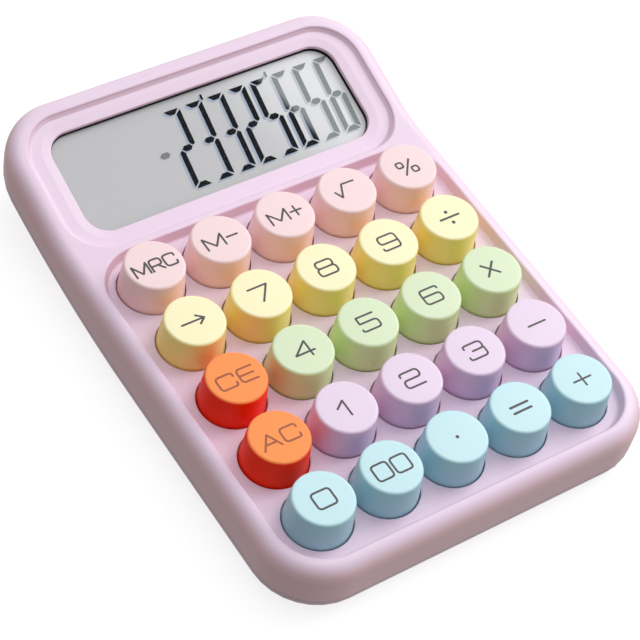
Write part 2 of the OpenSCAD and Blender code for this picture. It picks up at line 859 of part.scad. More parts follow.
module dome_mat() {
    color("#e9e9ec")
    difference() {
        union() {
            plate(mat_plan, mat_z, mat_top_z);
            for (k = KEYS)
                translate([key_x(k[1]), key_y(k[2]), mat_top_z - 0.2])
                    cylinder(h = dome_h + 0.2, r1 = dome_base_r, r2 = dome_top_r);
        }
        for (k = KEYS)
            translate([key_x(k[1]), key_y(k[2]), mat_z - eps])
                cylinder(
                    h = mat_t + dome_h - dome_wall - pill_t,
                    r1 = dome_base_r - dome_wall, r2 = dome_top_r - dome_wall
                );
        for (p = housing_boss_places)
            translate([p[0], p[1], mat_z - 1])
                cylinder(h = mat_t + 2, r = boss_r + 0.4);
        for (p = board_boss_places)
            translate([p[0], p[1], mat_z - 1])
                cylinder(h = mat_t + 2, r = board_boss_r + 0.4);
    }
}
chip_r = 4.5;
chip_h = 1.5;
chip_y = tray_y1 + 5.5;
module controller_chip() {
    color("#1c1c1e")
    translate([0, chip_y, mat_z])
        rotate_extrude()
            polygon(concat(
                [[0, 0]],
                [for (i = [0:6]) [chip_r * cos(15 * i), chip_h * sin(15 * i)]]
            ));
}
cap_r = 1.5;
cap_l = 5;
cap_gap = 0.4;
cap_x = flex_hw + wire_lead + wire_r + cap_gap + cap_r;
module filter_capacitor() {
    color("#30406a")
    translate([cap_x, bend_y + 1, mat_z + cap_r])
        rotate([-90, 0, 0])
            union() {
                cylinder(h = cap_l, r = cap_r);
                for (s = [-1, 1])
                    translate([s * 0.7, 0, -1.5]) {
                        cylinder(h = 1.6, r = 0.2);
                        translate([-0.2, 0, 0])
                            cube([0.4, cap_r, 0.4]);
                    }
            }
}
module resistors() {
    color("#3a3a3c")
    for (i = [0:2])
        translate([-cap_x - 0.8 + 2 * i, bend_y + 2, mat_z])
            cube([0.8, 1.6, 0.5]);
}
module board_screws() {
    color("silver")
    for (p = board_boss_places)
        translate([p[0], p[1], board_z])
            small_screw(board_t + 3);
}
module housing_screws() {
    color("silver")
    for (p = housing_boss_places)
        translate([p[0], p[1], seat_floor_z(p)]) {
            translate([0, 0, -head_t])
                difference() {
                    cylinder(h = head_t, r = screw_head_r);
                    translate([0, 0, -0.4]) cross_slot();
                }
            cylinder(h = min(8, ceiling_z(p) - 1.4 - seat_floor_z(p)), r = screw_r);
        }
}
module rubber_feet() {
    color("#8d8790")
    for (p = foot_places)
        translate([p[0], p[1], 0])
            rotate_extrude()
                polygon([
                    [0, 0], [foot_r - 0.5, 0], [foot_r - 0.15, 0.15], [foot_r, 0.5],
                    [foot_r, foot_h + foot_pocket], [0, foot_h + foot_pocket]
                ]);
}

// ---- Battery ------------------------------------------------------------------------

nub_l = 1.1;
nub_r = 1.9;
contact_places = [-battery_l / 2 - spring_l - contact_t / 2, battery_l / 2 + contact_t / 2];
module battery() {
    color("#6f7f8c")
    translate([-battery_l / 2, battery_y, battery_z])
        rotate([0, 90, 0])
            union() {
                cylinder(h = battery_l - nub_l, r = battery_r);
                cylinder(h = battery_l, r = nub_r);
            }
}

// Plate at one end of the bay, with a tab that passes out through the front wall
module contact_plate(x) {
    translate([x - contact_t / 2, battery_y - 4, battery_z - 4])
        cube([contact_t, 8, 8]);
    translate([x - contact_t / 2, bay_front_y - 2, battery_z - 2])
        cube([contact_t, battery_y - bay_front_y, 4]);
}
module battery_contact_positive() {
    color("silver")
    contact_plate(contact_places[1]);
}
spring_turns = 3;
spring_wire_r = 0.3;
spring_r0 = 3.2;
spring_r1 = 1.8;
spring_steps = 14;
module battery_contact_negative() {
    n = spring_turns * spring_steps;
    x0 = contact_places[0] + contact_t / 2 + spring_wire_r * 0.6;
    x1 = -battery_l / 2 - spring_wire_r;
    color("silver")
    union() {
        contact_plate(contact_places[0]);
        wire(
            [
                for (i = [0:n])
                let (t = i / n, a = 360 * i / spring_steps, r = blend(spring_r0, spring_r1, t))
                [blend(x0, x1, t), battery_y + r * cos(a), battery_z + r * sin(a)]
            ],
            spring_wire_r, [1, 0, 0]
        );
    }
}
module battery_wire(x, side) {
    wire(
        [
            [x + side * 0.75, bay_front_y - 1.5, battery_z],
            [x + side * 0.75, bay_front_y - 4, battery_z],
            [x + side * 1.5, bay_front_y - 6, battery_z - 0.5],
            [side * (flex_hw + wire_lead - 0.1), board_back_y - 1, mat_z + 1.6],
            [side * (flex_hw + wire_lead), board_back_y - 2.4, mat_z + 0.6],
            [side * (flex_hw + wire_lead), board_back_y - 3.6, mat_z + wire_r]
        ],
        wire_r, [0, 0.3, 1]
    );
}
module battery_wire_red() {
    color("red")
    battery_wire(contact_places[1], 1);
}
module battery_wire_black() {
    color("#202022")
    battery_wire(contact_places[0], -1);
}

// ---- Output -------------------------------------------------------------------------

for (k = KEYS)
    keycap(k);
front_housing();
key_plate();
rear_housing();
battery_cover();
display_lens();
lens_tape();
front_polariser();
lcd_glass();
rear_polariser();
lcd_frame();
lcd_screws();
lcd_flex_cable();
dome_mat();
main_board();
controller_chip();
filter_capacitor();
resistors();
board_screws();
housing_screws();
rubber_feet();
battery();
battery_contact_positive();
battery_contact_negative();
battery_wire_red();
battery_wire_black();
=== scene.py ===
# Desk calculator: round keys in a sunken tray, and a display section that tilts up behind them.
# Sizes below are millimetres. Each mesh is made in millimetres and scaled to metres once.
# Every finished piece is dressed in its slot's material or a given one, put under its body, and the CAD nodes
# it stands for are hidden.
import json
import math
import bmesh
import bpy
import numpy as np
from mathutils import Matrix, Vector
from mathutils.geometry import delaunay_2d_cdt


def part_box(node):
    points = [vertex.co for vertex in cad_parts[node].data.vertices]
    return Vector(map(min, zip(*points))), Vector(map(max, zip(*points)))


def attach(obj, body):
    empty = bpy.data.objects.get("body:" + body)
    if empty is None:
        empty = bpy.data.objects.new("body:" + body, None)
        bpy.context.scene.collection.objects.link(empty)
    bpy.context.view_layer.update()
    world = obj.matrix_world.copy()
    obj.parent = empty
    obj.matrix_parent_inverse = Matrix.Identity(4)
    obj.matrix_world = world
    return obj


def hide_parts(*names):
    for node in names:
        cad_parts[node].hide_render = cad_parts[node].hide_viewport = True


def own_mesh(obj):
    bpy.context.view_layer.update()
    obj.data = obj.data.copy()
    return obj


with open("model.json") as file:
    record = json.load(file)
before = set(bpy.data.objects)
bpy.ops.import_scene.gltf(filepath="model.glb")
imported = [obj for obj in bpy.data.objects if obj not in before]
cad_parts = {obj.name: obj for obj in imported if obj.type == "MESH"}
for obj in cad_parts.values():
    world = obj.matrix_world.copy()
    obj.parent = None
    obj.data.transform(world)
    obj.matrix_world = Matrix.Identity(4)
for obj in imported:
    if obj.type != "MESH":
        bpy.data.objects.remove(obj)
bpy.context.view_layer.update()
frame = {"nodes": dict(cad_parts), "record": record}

MM = 0.001


def box_mm(node):
    low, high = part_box(node)
    return low / MM, high / MM


def new_object(name, data):
    """An object with its data, linked into the scene."""
    thing = bpy.data.objects.new(name, data)
    bpy.context.scene.collection.objects.link(thing)
    return thing


def new_mesh(name, points, faces):
    """A mesh from points in millimetres."""
    mesh = bpy.data.meshes.new(name)
    mesh.from_pydata([tuple(p) for p in np.asarray(points, float) * MM], [], faces)
    return mesh


def evaluated_mesh(piece):
    """An object's mesh as its modifiers leave it."""
    shown = piece.evaluated_get(bpy.context.evaluated_depsgraph_get())
    return bpy.data.meshes.new_from_object(shown)


# ---- Camera ----

CAMERA_AT = Vector((-248.52, -251.76, 432.82))
CAMERA_LOOK = Vector((0.44777, 0.44697, -0.77442))
CAMERA_ROLL = -15.07
CAMERA_LENS = 123.8


def add_camera():
    """Turns the camera about its line of sight, from the level position, by the roll."""
    back = -CAMERA_LOOK.normalized()
    right = CAMERA_LOOK.cross(Vector((0, 0, 1))).normalized()
    up = back.cross(right)
    roll = math.radians(CAMERA_ROLL)
    tilted_up = up * math.cos(roll) + right * math.sin(roll)
    tilted_right = tilted_up.cross(back)
    data = bpy.data.cameras.new("camera")
    data.lens = CAMERA_LENS
    data.clip_start = 0.01
    data.clip_end = 20
    camera = new_object("camera", data)
    turn = Matrix((tilted_right, tilted_up, back)).transposed()
    camera.matrix_world = Matrix.LocRotScale(CAMERA_AT * MM, turn.to_quaternion(), None)
    bpy.context.scene.camera = camera


# ---- Sizes of the housing ----

body_low, body_high = box_mm("front_housing")
BODY_HW = body_high.x
FRONT_Y = body_low.y
BACK_Y = body_high.y
FOOT_H = box_mm("rear_housing")[0].z

KEY_H = 8.95
KEY_TOP = box_mm("keycap_5")[1].z
KEY_TOP_R = 7.7
KEY_BASE_R = 8.35
KEY_WALL = 1.3
KEY_GAP = 0.35
KEY_EDGE = 0.75
KEY_CROWN = 0.12
FLANGE_W = 0.85
FLANGE_T = 0.9
PLUNGER_R = 1.8
JOINT_GAP = 0.3
HOLE_R = KEY_BASE_R + KEY_GAP
PITCH_Y = 18.9

TRAY_Z = KEY_TOP - KEY_H
TRAY_DEPTH = 2.9
PLATE_T = 1.8
PLATE_Z = TRAY_Z - PLATE_T
FLANGE_Z = PLATE_Z - JOINT_GAP - FLANGE_T
RIM_Z = TRAY_Z + TRAY_DEPTH
TRAY_FRONT = 3.6
TRAY_BACK = 2.2
TRAY_CORNER_R = 12
RIM_W = 5
TRAY_HW = BODY_HW - RIM_W
TRAY_Y0 = FRONT_Y + RIM_W
TRAY_Y1 = TRAY_Y0 + 4 * PITCH_Y + 2 * HOLE_R + TRAY_FRONT + TRAY_BACK

CORNER_R = 16.5
SHOULDER_W = 4.35
SHOULDER_H = 5.2
# Width over which the shoulder's painted shade blends in
SHOULDER_SHADE_BLEND = 0.6
WALL = 2
SEAM_H = 3.5
SEAM_BEVEL = 0.25
KEEL_R = 220

TILT = math.radians(15)
BEND_R = 40
BEND_LEAD = 6.65
RIDGE_W = 2
DISPLAY_L = 39.3
DISPLAY_RIM = 5.6
RECESS_CORNER_R = 11.6
RECESS_WALL_W = 0.8
LEDGE_DEPTH = 1.25
BEZEL_SIDE = 6.5
BEZEL_FRONT = 5.4
BEZEL_BACK = 4.7
SLOPE_W = 2.6
SLOPE_DROP = 0.35
BEZEL_T = 1.3
BEZEL_DEPTH = LEDGE_DEPTH + BEZEL_T
WINDOW_CORNER_R = 6.4
BEND_Y = TRAY_Y1 + RIDGE_W + BEND_LEAD
BEND_Y0 = BEND_Y - BEND_R * math.tan(TILT / 2)
BEND_Y1 = BEND_Y0 + BEND_R * math.sin(TILT)

# Plans are [half width, front, back, corner radius]; the display's are on its own slope
HOUSING_PLAN = np.array([BODY_HW, FRONT_Y, BACK_Y, CORNER_R])
TRAY_PLAN = np.array([TRAY_HW, TRAY_Y0, TRAY_Y1, TRAY_CORNER_R])
RECESS_V0 = -BEND_LEAD * math.cos(TILT)
RECESS_PLAN = np.array([BODY_HW - DISPLAY_RIM, RECESS_V0, RECESS_V0 + DISPLAY_L, RECESS_CORNER_R])
WINDOW_PLAN = np.array([
    RECESS_PLAN[0] - BEZEL_SIDE, RECESS_PLAN[1] + BEZEL_FRONT, RECESS_PLAN[2] - BEZEL_BACK,
    WINDOW_CORNER_R,
])


def inset(plan, distance):
    """The plan moved in by a distance, all round."""
    moved = plan + np.array([-distance, distance, -distance, -distance])
    moved[3] = max(moved[3], 0.3)
    return moved


def bend_rise(distance, most):
    """Rise of the bend's arc at a distance from its start, up to the most that the arc covers."""
    return BEND_R - np.sqrt(BEND_R**2 - np.clip(distance, 0, most) ** 2)


def top_z(y):
    """The housing's top: level, then an arc, then the display's slope."""
    y = np.asarray(y, float)
    arc = RIM_Z + bend_rise(y - BEND_Y0, BEND_Y1 - BEND_Y0)
    return np.where(y < BEND_Y1, arc, RIM_Z + (y - BEND_Y) * math.tan(TILT))


def keel_z(y):
    """The underside: level, then rising beneath the display."""
    return FOOT_H + np.maximum(0, y) ** 2 / (2 * KEEL_R)


def seam_z(y):
    return keel_z(y) + SEAM_H


def bezel_bottom_z(y):
    """The underside of the key plate and, further back, of the display's bezel."""
    slope = RIM_Z - BEZEL_DEPTH / math.cos(TILT) + (np.asarray(y, float) - BEND_Y) * math.tan(TILT)
    return np.maximum(PLATE_Z, slope)


def top_above_slope(v):
    """Height of the housing's top above the plane of the display, at v along that plane."""
    tangent_v = BEND_R * math.tan(TILT / 2)
    level_v = tangent_v - BEND_R * math.sin(TILT)
    v = np.asarray(v, float)
    return np.where(v < level_v, -v * math.tan(TILT), bend_rise(tangent_v - v, tangent_v - level_v))


def on_slope(points):
    """Points given on the display's own plane, as (x, v, height above it), put in place."""
    x, v, w = np.asarray(points, float).T
    y = BEND_Y + v * math.cos(TILT) - w * math.sin(TILT)
    z = RIM_Z + v * math.sin(TILT) + w * math.cos(TILT)
    return np.stack([x, y, z], 1)


# ---- Outlines, bands and fills ----

CORNER_STEPS = 16
SIDE_STEPS = 60
CREASE_INSET = 0.01
SMOOTH_ANGLE = 35
NORMAL_WEIGHT = 60


def arc_points(x, y, radius, start, end, count):
    """Points of an arc about (x, y), from a start angle to an end angle."""
    turns = np.radians(np.linspace(start, end, count))
    return [(x + radius * math.cos(t), y + radius * math.sin(t)) for t in turns]


def outline(plan, side_steps=SIDE_STEPS):
    """A rounded rectangle, anticlockwise: its right half from the front, then its left half."""
    half_width, front, back, radius = plan
    side = [(half_width, y) for y in np.linspace(front + radius, back - radius, side_steps + 1)[1:-1]]
    right = np.array([
        *arc_points(half_width - radius, front + radius, radius, -90, 0, CORNER_STEPS + 1), *side,
        *arc_points(half_width - radius, back - radius, radius, 0, 90, CORNER_STEPS + 1),
    ])
    return np.concatenate([right, (right * [-1, 1])[::-1]])


def chain(stations, low, high, place=None, side_steps=SIDE_STEPS):
    """Rings from stations [half width, front, back, radius, z, share], where z is measured from
    low(y) at share 0 and from high(y) at share 1."""
    rings = []
    for *plan, z, share in stations:
        flat = outline(plan, side_steps)
        height = (1 - share) * low(flat[:, 1]) + share * high(flat[:, 1]) + z
        ring = np.column_stack([flat, height])
        rings.append(place(ring) if place else ring)
    return rings


def station(plan, z, share=0.0):
    """One place along a section of the housing: a plan at a height."""
    return np.array([*plan, z, share])


def bent(before, at, after, reach, most, count, length=np.linalg.norm):
    """A corner as a short curve, which takes a reach from each side, or at most a share of it."""
    a, b = [at + (other - at) * min(most, reach / length(other - at)) for other in (before, after)]
    return [(1 - t) ** 2 * a + 2 * t * (1 - t) * at + t**2 * b for t in np.linspace(0, 1, count)]


def softened(stations, reach):
    """Turns each inner corner of a chain of stations into a short curve."""
    out = [stations[0]]
    for corner in zip(stations, stations[1:], stations[2:]):
        out += bent(*corner, reach, 0.45, 4, lambda step: max(math.hypot(step[0], step[4]), 1e-6))
    return [*out, stations[-1]]


def circle(x, y, radius, z, count=64):
    """A level ring of points."""
    ring = arc_points(x, y, radius, 0, 360, count + 1)[:-1]
    return np.column_stack([ring, np.full(count, float(z))])


def is_inside(points, loop):
    """Which of the points lie inside a closed loop, seen from above."""
    ax, ay = loop[:, 0], loop[:, 1]
    bx, by = np.roll(ax, -1), np.roll(ay, -1)
    px, py = points[:, :1], points[:, 1:2]
    spans = (ay > py) != (by > py)
    with np.errstate(divide="ignore", invalid="ignore"):
        cross_x = ax + (py - ay) * (bx - ax) / (by - ay)
    return (spans & (px < cross_x)).sum(1) % 2 == 1


class Shell:
    """Collects points and faces of one mesh, in millimetres."""

    def __init__(self):
        self.points = []
        self.faces = []

    def add(self, points):
        start = len(self.points)
        self.points.extend(map(tuple, points))
        return start

    def band(self, rings):
        """Quads between rings of equal point counts."""
        starts = [self.add(ring) for ring in rings]
        count = len(rings[0])
        for a, b in zip(starts, starts[1:]):
            for i in range(count):
                j = (i + 1) % count
                self.faces.append((a + i, a + j, b + j, b + i))

    def fill(self, edge, holes, height, creases=()):
        """Triangles inside a loop and outside its holes, at a height that depends on y."""
        loops = [edge, *holes]
        flat = np.concatenate([loop[:, :2] for loop in loops] + [np.reshape(creases, (-1, 2))])
        edges = []
        start = 0
        for loop in loops:
            count = len(loop)
            edges += [(start + i, start + (i + 1) % count) for i in range(count)]
            start += count
        edges += [(i, i + 1) for i in range(start, len(flat), 2)]
        found = delaunay_2d_cdt([Vector(p) for p in flat], edges, [], 0, 1e-7)
        corners = np.array([tuple(p) for p in found[0]])
        triangles = np.array(found[2])
        middles = corners[triangles].mean(1)
        keep = is_inside(middles, edge)
        for hole in holes:
            keep &= ~is_inside(middles, hole)
        first = self.add(np.column_stack([corners, height(corners[:, 1])]))
        self.faces.extend(tuple(first + t) for t in triangles[keep])

    def make(self, name):
        return finished(name, new_mesh(name, self.points, self.faces))


def finished(name, mesh, merge=2e-6):
    """An object with its doubles merged, its faces turned outwards and its soft edges smooth."""
    work = bmesh.new()
    work.from_mesh(mesh)
    bmesh.ops.remove_doubles(work, verts=work.verts, dist=merge)
    bmesh.ops.dissolve_degenerate(work, edges=work.edges, dist=merge)
    loose = [v for v in work.verts if not v.link_faces]
    bmesh.ops.delete(work, geom=loose, context="VERTS")
    bmesh.ops.recalc_face_normals(work, faces=work.faces)
    for face in work.faces:
        face.smooth = True
    limit = math.radians(SMOOTH_ANGLE)
    for edge in work.edges:
        edge.smooth = edge.is_manifold and edge.calc_face_angle(0) < limit
    work.to_mesh(mesh)
    work.free()
    return new_object(name, mesh)


def weigh_normals(piece):
    """Lets the large flat faces set the normals, so that narrow roundings shade softly."""
    modifier = piece.modifiers.new("weighted_normals", "WEIGHTED_NORMAL")
    modifier.keep_sharp = True
    modifier.weight = NORMAL_WEIGHT


def level(z):
    return lambda y: np.full_like(np.asarray(y, float), z)


# ---- Front housing ----

KEY_ROWS = [
    [("memory_recall", "MRC"), ("memory_minus", "M-"), ("memory_plus", "M+"),
     ("square_root", "r"), ("percent", "%")],
    [("backspace", ">"), ("7", "7"), ("8", "8"), ("9", "9"), ("divide", "/")],
    [("clear_entry", "CE"), ("4", "4"), ("5", "5"), ("6", "6"), ("multiply", "x")],
    [("all_clear", "AC"), ("1", "1"), ("2", "2"), ("3", "3"), ("minus", "-")],
    [("0", "0"), ("00", "00"), ("point", "."), ("equals", "="), ("plus", "+")],
]


def key_centre(name):
    low, high = box_mm("keycap_" + name)
    return (low.x + high.x) / 2, (low.y + high.y) / 2


KEY_CENTRES = {name: key_centre(name) for row in KEY_ROWS for name, _ in row}

TRAY_CREST = 0.6
TRAY_WALL_W = 0.5
TRAY_FILLET = 0.9
RECESS_CREST = 0.55
RECESS_SOFT = 0.3
HOLE_EDGE = 0.2
TURNS = np.radians(np.linspace(0, 90, 8))


def rounded_edge(plan, start, width, z, height, share=0.0, turns=TURNS):
    """A quarter round that moves in by a width, from a start, while it climbs a height up to z."""
    return [
        station(inset(plan, start + width * (1 - math.cos(t))), z - height * (1 - math.sin(t)), share)
        for t in turns
    ]


def outer_stations():
    """From the parting line up the side and over the rounded shoulder."""
    turns = np.radians(np.linspace(0, 90, 13))
    side = [station(inset(HOUSING_PLAN, SEAM_BEVEL), 0), station(HOUSING_PLAN, SEAM_BEVEL)]
    return side + rounded_edge(HOUSING_PLAN, 0, SHOULDER_W, 0, SHOULDER_H, 1, turns)


def tray_stations():
    """From the crest down the tray's wall to its floor."""
    crest = rounded_edge(TRAY_PLAN, 0, -TRAY_CREST, RIM_Z, TRAY_CREST)
    fillet = rounded_edge(TRAY_PLAN, TRAY_WALL_W, TRAY_FILLET, TRAY_Z, -TRAY_FILLET)
    return crest[::-1] + fillet


def recess_stations():
    """From the crest down the steep wall, over the flat ledge and down the slope to the window."""
    crest = rounded_edge(RECESS_PLAN, 0, -RECESS_CREST, 0, RECESS_CREST, 1)[::-1]
    slope_plan = inset(WINDOW_PLAN, -SLOPE_W)
    rest = [
        crest[-1],
        station(inset(RECESS_PLAN, RECESS_WALL_W), -LEDGE_DEPTH),
        station(slope_plan, -LEDGE_DEPTH),
        station(WINDOW_PLAN, -LEDGE_DEPTH - SLOPE_DROP),
        station(WINDOW_PLAN, -BEZEL_DEPTH),
    ]
    return crest[:-1] + softened(rest, RECESS_SOFT)


def front_housing_skin():
    shell = Shell()
    outer = chain(outer_stations(), seam_z, top_z)
    tray = chain(tray_stations(), level(0), level(0), side_steps=1)
    recess = chain(recess_stations(), level(0), top_above_slope, on_slope)
    ceiling = inset(HOUSING_PLAN, WALL)
    inner = chain([station(ceiling, 0), station(ceiling, 0, 1)], seam_z, bezel_bottom_z)
    for rings in (outer, tray, recess, inner, [outer[0], inner[0]]):
        shell.band(rings)
    mouths, bottoms = [], []
    for x, y in KEY_CENTRES.values():
        rings = [
            circle(x, y, HOLE_R + HOLE_EDGE * (1 - math.sin(t)), TRAY_Z - HOLE_EDGE * (1 - math.cos(t)))
            for t in TURNS[::2]
        ]
        rings += [circle(x, y, HOLE_R, z) for z in (TRAY_Z - HOLE_EDGE, PLATE_Z)]
        shell.band(rings)
        mouths.append(rings[0])
        bottoms.append(rings[-1])
    corner_y = BEND_Y + (PLATE_Z - bezel_bottom_z(BEND_Y)) / math.tan(TILT)
    crease_x = ceiling[0] - CREASE_INSET
    shell.fill(outer[-1], [tray[0], recess[0]], top_z)
    shell.fill(tray[-1], mouths, level(TRAY_Z))
    shell.fill(
        inner[-1], [*bottoms, recess[-1]], bezel_bottom_z, [(-crease_x, corner_y), (crease_x, corner_y)]
    )
    skin = shell.make("front_housing_moulding")
    for vertex in skin.data.vertices:
        vertex.co.z = min(vertex.co.z, body_high.z * MM)
    return skin


# ---- Geometry node trees ----

GEOMETRY = {"Geometry": "Geometry"}
INTEGER_MATH = "FunctionNodeIntegerMath"
VECTOR_MATH = "ShaderNodeVectorMath"


def new_tree(kind, name, inputs, outputs):
    """An empty node tree with named inputs and outputs, given with their kinds of socket."""
    tree = bpy.data.node_groups.new(name, kind)
    for in_out, sockets in (("INPUT", inputs), ("OUTPUT", outputs)):
        for label, socket in sockets.items():
            tree.interface.new_socket(label, in_out=in_out, socket_type="NodeSocket" + socket)
    return tree, tree.nodes.new("NodeGroupInput").outputs, tree.nodes.new("NodeGroupOutput").inputs


def set_sockets(tree, node, values):
    """Links or sets a node's input sockets, by name or by place."""
    for socket, value in values.items():
        if isinstance(value, bpy.types.NodeSocket):
            tree.links.new(value, node.inputs[socket])
        else:
            node.inputs[socket].default_value = value


def add_node(tree, kind, values=None, **settings):
    """Makes a node with its settings, links or sets its sockets, and gives its outputs."""
    node = tree.nodes.new(kind)
    for key, value in settings.items():
        setattr(node, key, value)
    set_sockets(tree, node, values or {})
    return node.outputs


def result(tree, operation, *values, kind="ShaderNodeMath"):
    """What a Math node, or another of its kind, makes of values or sockets."""
    return add_node(tree, kind, dict(enumerate(values)), operation=operation)[0]


def smooth_share(tree, value, start, end):
    """Share that grows softly from 0 to 1 while a value goes from a start to an end."""
    return add_node(
        tree, "ShaderNodeMapRange", {"Value": value, "From Min": start, "From Max": end},
        interpolation_type="SMOOTHSTEP",
    )[0]


def mixed_colour(tree, share, first, second):
    return add_node(tree, "ShaderNodeMix", {0: share, 6: first, 7: second}, data_type="RGBA")[2]


def end_tree(tree, shape, given, out):
    """Ends a geometry tree with plain meshes in the given material."""
    real = add_node(tree, "GeometryNodeRealizeInstances", {0: shape[0]})
    dressed = add_node(tree, "GeometryNodeSetMaterial", {"Geometry": real[0], "Material": given["Material"]})
    tree.links.new(dressed[0], out[0])
    return tree


def turned_part_tree():
    """Turns a profile of (radius, 0, height) points about the Z axis."""
    tree, given, out = new_tree(
        "GeometryNodeTree", "turned_part",
        {**GEOMETRY, "Steps": "Int", "Merge Distance": "Float", "Material": "Material"}, GEOMETRY,
    )
    profile, steps = given["Geometry"], given["Steps"]
    count = add_node(tree, "GeometryNodeAttributeDomainSize", {0: profile})["Point Count"]
    across = result(tree, "ADD", steps, 1, kind=INTEGER_MATH)
    grid = add_node(tree, "GeometryNodeMeshGrid", {"Vertices X": across, "Vertices Y": count})
    index = add_node(tree, "GeometryNodeInputIndex")[0]
    row = result(tree, "MODULO", index, count, kind=INTEGER_MATH)
    column = result(tree, "DIVIDE_FLOOR", index, count, kind=INTEGER_MATH)
    position = add_node(tree, "GeometryNodeInputPosition")[0]
    point = add_node(
        tree, "GeometryNodeSampleIndex",
        {"Geometry": profile, "Index": row, "Value": position}, data_type="FLOAT_VECTOR", domain="POINT",
    )
    angle = result(tree, "MULTIPLY", result(tree, "DIVIDE", column, steps), 2 * math.pi)
    spun = add_node(
        tree, "ShaderNodeVectorRotate", {"Vector": point[0], "Angle": angle}, rotation_type="Z_AXIS"
    )
    placed = add_node(tree, "GeometryNodeSetPosition", {"Geometry": grid["Mesh"], "Position": spun[0]})
    merged = add_node(
        tree, "GeometryNodeMergeByDistance", {"Geometry": placed[0], "Distance": given["Merge Distance"]}
    )
    return end_tree(tree, merged, given, out)


def copies_tree():
    """Sets a copy of an object on every point of a mesh."""
    tree, given, out = new_tree(
        "GeometryNodeTree", "copies_on_points",
        {**GEOMETRY, "Part": "Object", "Material": "Material"}, GEOMETRY,
    )
    part = add_node(tree, "GeometryNodeObjectInfo", {"Object": given["Part"]})
    copies = add_node(
        tree, "GeometryNodeInstanceOnPoints", {"Points": given["Geometry"], "Instance": part["Geometry"]}
    )
    return end_tree(tree, copies, given, out)


def grown(name, start, tree, values):
    """Runs a tree on start points with values for its named inputs, and keeps the plain mesh."""
    start_mesh = new_mesh(name + "_start", start, [])
    seed = new_object(name + "_start", start_mesh)
    modifier = seed.modifiers.new("tree", "NODES")
    modifier.node_group = tree
    for socket in tree.interface.items_tree:
        if socket.item_type == "SOCKET" and socket.in_out == "INPUT" and socket.name in values:
            modifier[socket.identifier] = values[socket.name]
    mesh = evaluated_mesh(seed)
    mesh.name = name
    bpy.data.objects.remove(seed)
    bpy.data.meshes.remove(start_mesh)
    return finished(name, mesh)


TURNED = turned_part_tree()
COPIES = copies_tree()


def turned(name, profile, steps, material):
    """A turned part from (radius, height) points. It closes on itself or on the axis."""
    values = {"Steps": steps, "Merge Distance": 1e-6, "Material": material}
    return grown(name, [(r, 0, z) for r, z in profile], TURNED, values)


def copied(name, places, part, material):
    """One mesh of a part's copies, each moved to a place. The part itself is then removed."""
    piece = grown(name, places, COPIES, {"Part": part, "Material": material})
    bpy.data.objects.remove(part)
    return piece


def keep_mesh(piece):
    """Bakes an object's modifiers into its mesh."""
    mesh = evaluated_mesh(piece)
    old = piece.data
    piece.modifiers.clear()
    piece.data = mesh
    mesh.name = piece.name
    bpy.data.meshes.remove(old)


def cut_or_join(piece, tool, operation):
    """An exact Boolean with a tool object, which is removed after it."""
    modifier = piece.modifiers.new("boolean", "BOOLEAN")
    modifier.operation = operation
    modifier.solver = "EXACT"
    modifier.object = tool
    keep_mesh(piece)
    bpy.data.objects.remove(tool)


def blocks(boxes):
    """One mesh of upright boxes, each given by its lowest and highest corner."""
    mesh = bpy.data.meshes.new("blocks")
    work = bmesh.new()
    for low, high in boxes:
        low, high = Vector(low) * MM, Vector(high) * MM
        place = Matrix.LocRotScale((low + high) / 2, None, high - low)
        bmesh.ops.create_cube(work, size=1, matrix=place)
    work.to_mesh(mesh)
    work.free()
    return new_object("blocks", mesh)


# ---- Material groups ----

TONE_SCALE = 30.0
MOULDED_GRAIN_SCALE = 2600.0


def straying(group, vector, scale, detail, spread, middle):
    """A value that strays softly from a middle by a spread, over the surface."""
    noise = add_node(group, "ShaderNodeTexNoise", {"Vector": vector, "Scale": scale, "Detail": detail})
    centred = result(group, "SUBTRACT", noise["Fac"], 0.5)
    return result(group, "MULTIPLY_ADD", centred, spread, middle)


def grain_group():
    """Fine moulded grain: a height for bump, and a roughness that varies softly over the surface."""
    group, given, out = new_tree(
        "ShaderNodeTree", "moulded_grain",
        {"Vector": "Vector", "Grain Scale": "Float", "Roughness": "Float", "Roughness Spread": "Float"},
        {"Height": "Float", "Roughness": "Float"},
    )
    fine = add_node(
        group, "ShaderNodeTexNoise", {"Vector": given["Vector"], "Scale": given["Grain Scale"], "Detail": 2.0}
    )
    group.links.new(fine["Fac"], out["Height"])
    broad = straying(group, given["Vector"], 90.0, 3.0, given["Roughness Spread"], given["Roughness"])
    group.links.new(broad, out["Roughness"])
    return group


def tone_group():
    """Slow variation of a colour over the surface."""
    group, given, out = new_tree(
        "ShaderNodeTree", "soft_tone",
        {"Vector": "Vector", "Color": "Color", "Scale": "Float", "Spread": "Float"}, {"Color": "Color"},
    )
    value = straying(group, given["Vector"], given["Scale"], 2.0, given["Spread"], 1.0)
    toned = add_node(group, "ShaderNodeHueSaturation", {"Color": given["Color"], "Value": value})
    group.links.new(toned[0], out["Color"])
    return group


def painted_top_light_group():
    """Mixes two colours by how far a face looks up: a paler top painted as light from above, and deeper sides
    painted as shade.
    """
    group, given, out = new_tree(
        "ShaderNodeTree", "paler_on_top",
        {"Side Color": "Color", "Top Color": "Color", "From": "Float", "To": "Float"}, {"Color": "Color"},
    )
    normal = add_node(group, "ShaderNodeNewGeometry")["Normal"]
    upward = add_node(group, "ShaderNodeSeparateXYZ", {0: normal})["Z"]
    share = smooth_share(group, upward, given["From"], given["To"])
    group.links.new(mixed_colour(group, share, given["Side Color"], given["Top Color"]), out["Color"])
    return group


GRAIN = grain_group()
TONE = tone_group()
PAINTED_TOP_LIGHT = painted_top_light_group()


def linear(hex_colour):
    """A colour written as #rrggbb, as the linear values that Blender's sockets take."""
    parts = [int(hex_colour[i:i + 2], 16) / 255 for i in (1, 3, 5)]
    return (*[c / 12.92 if c <= 0.04045 else ((c + 0.055) / 1.055) ** 2.4 for c in parts], 1.0)


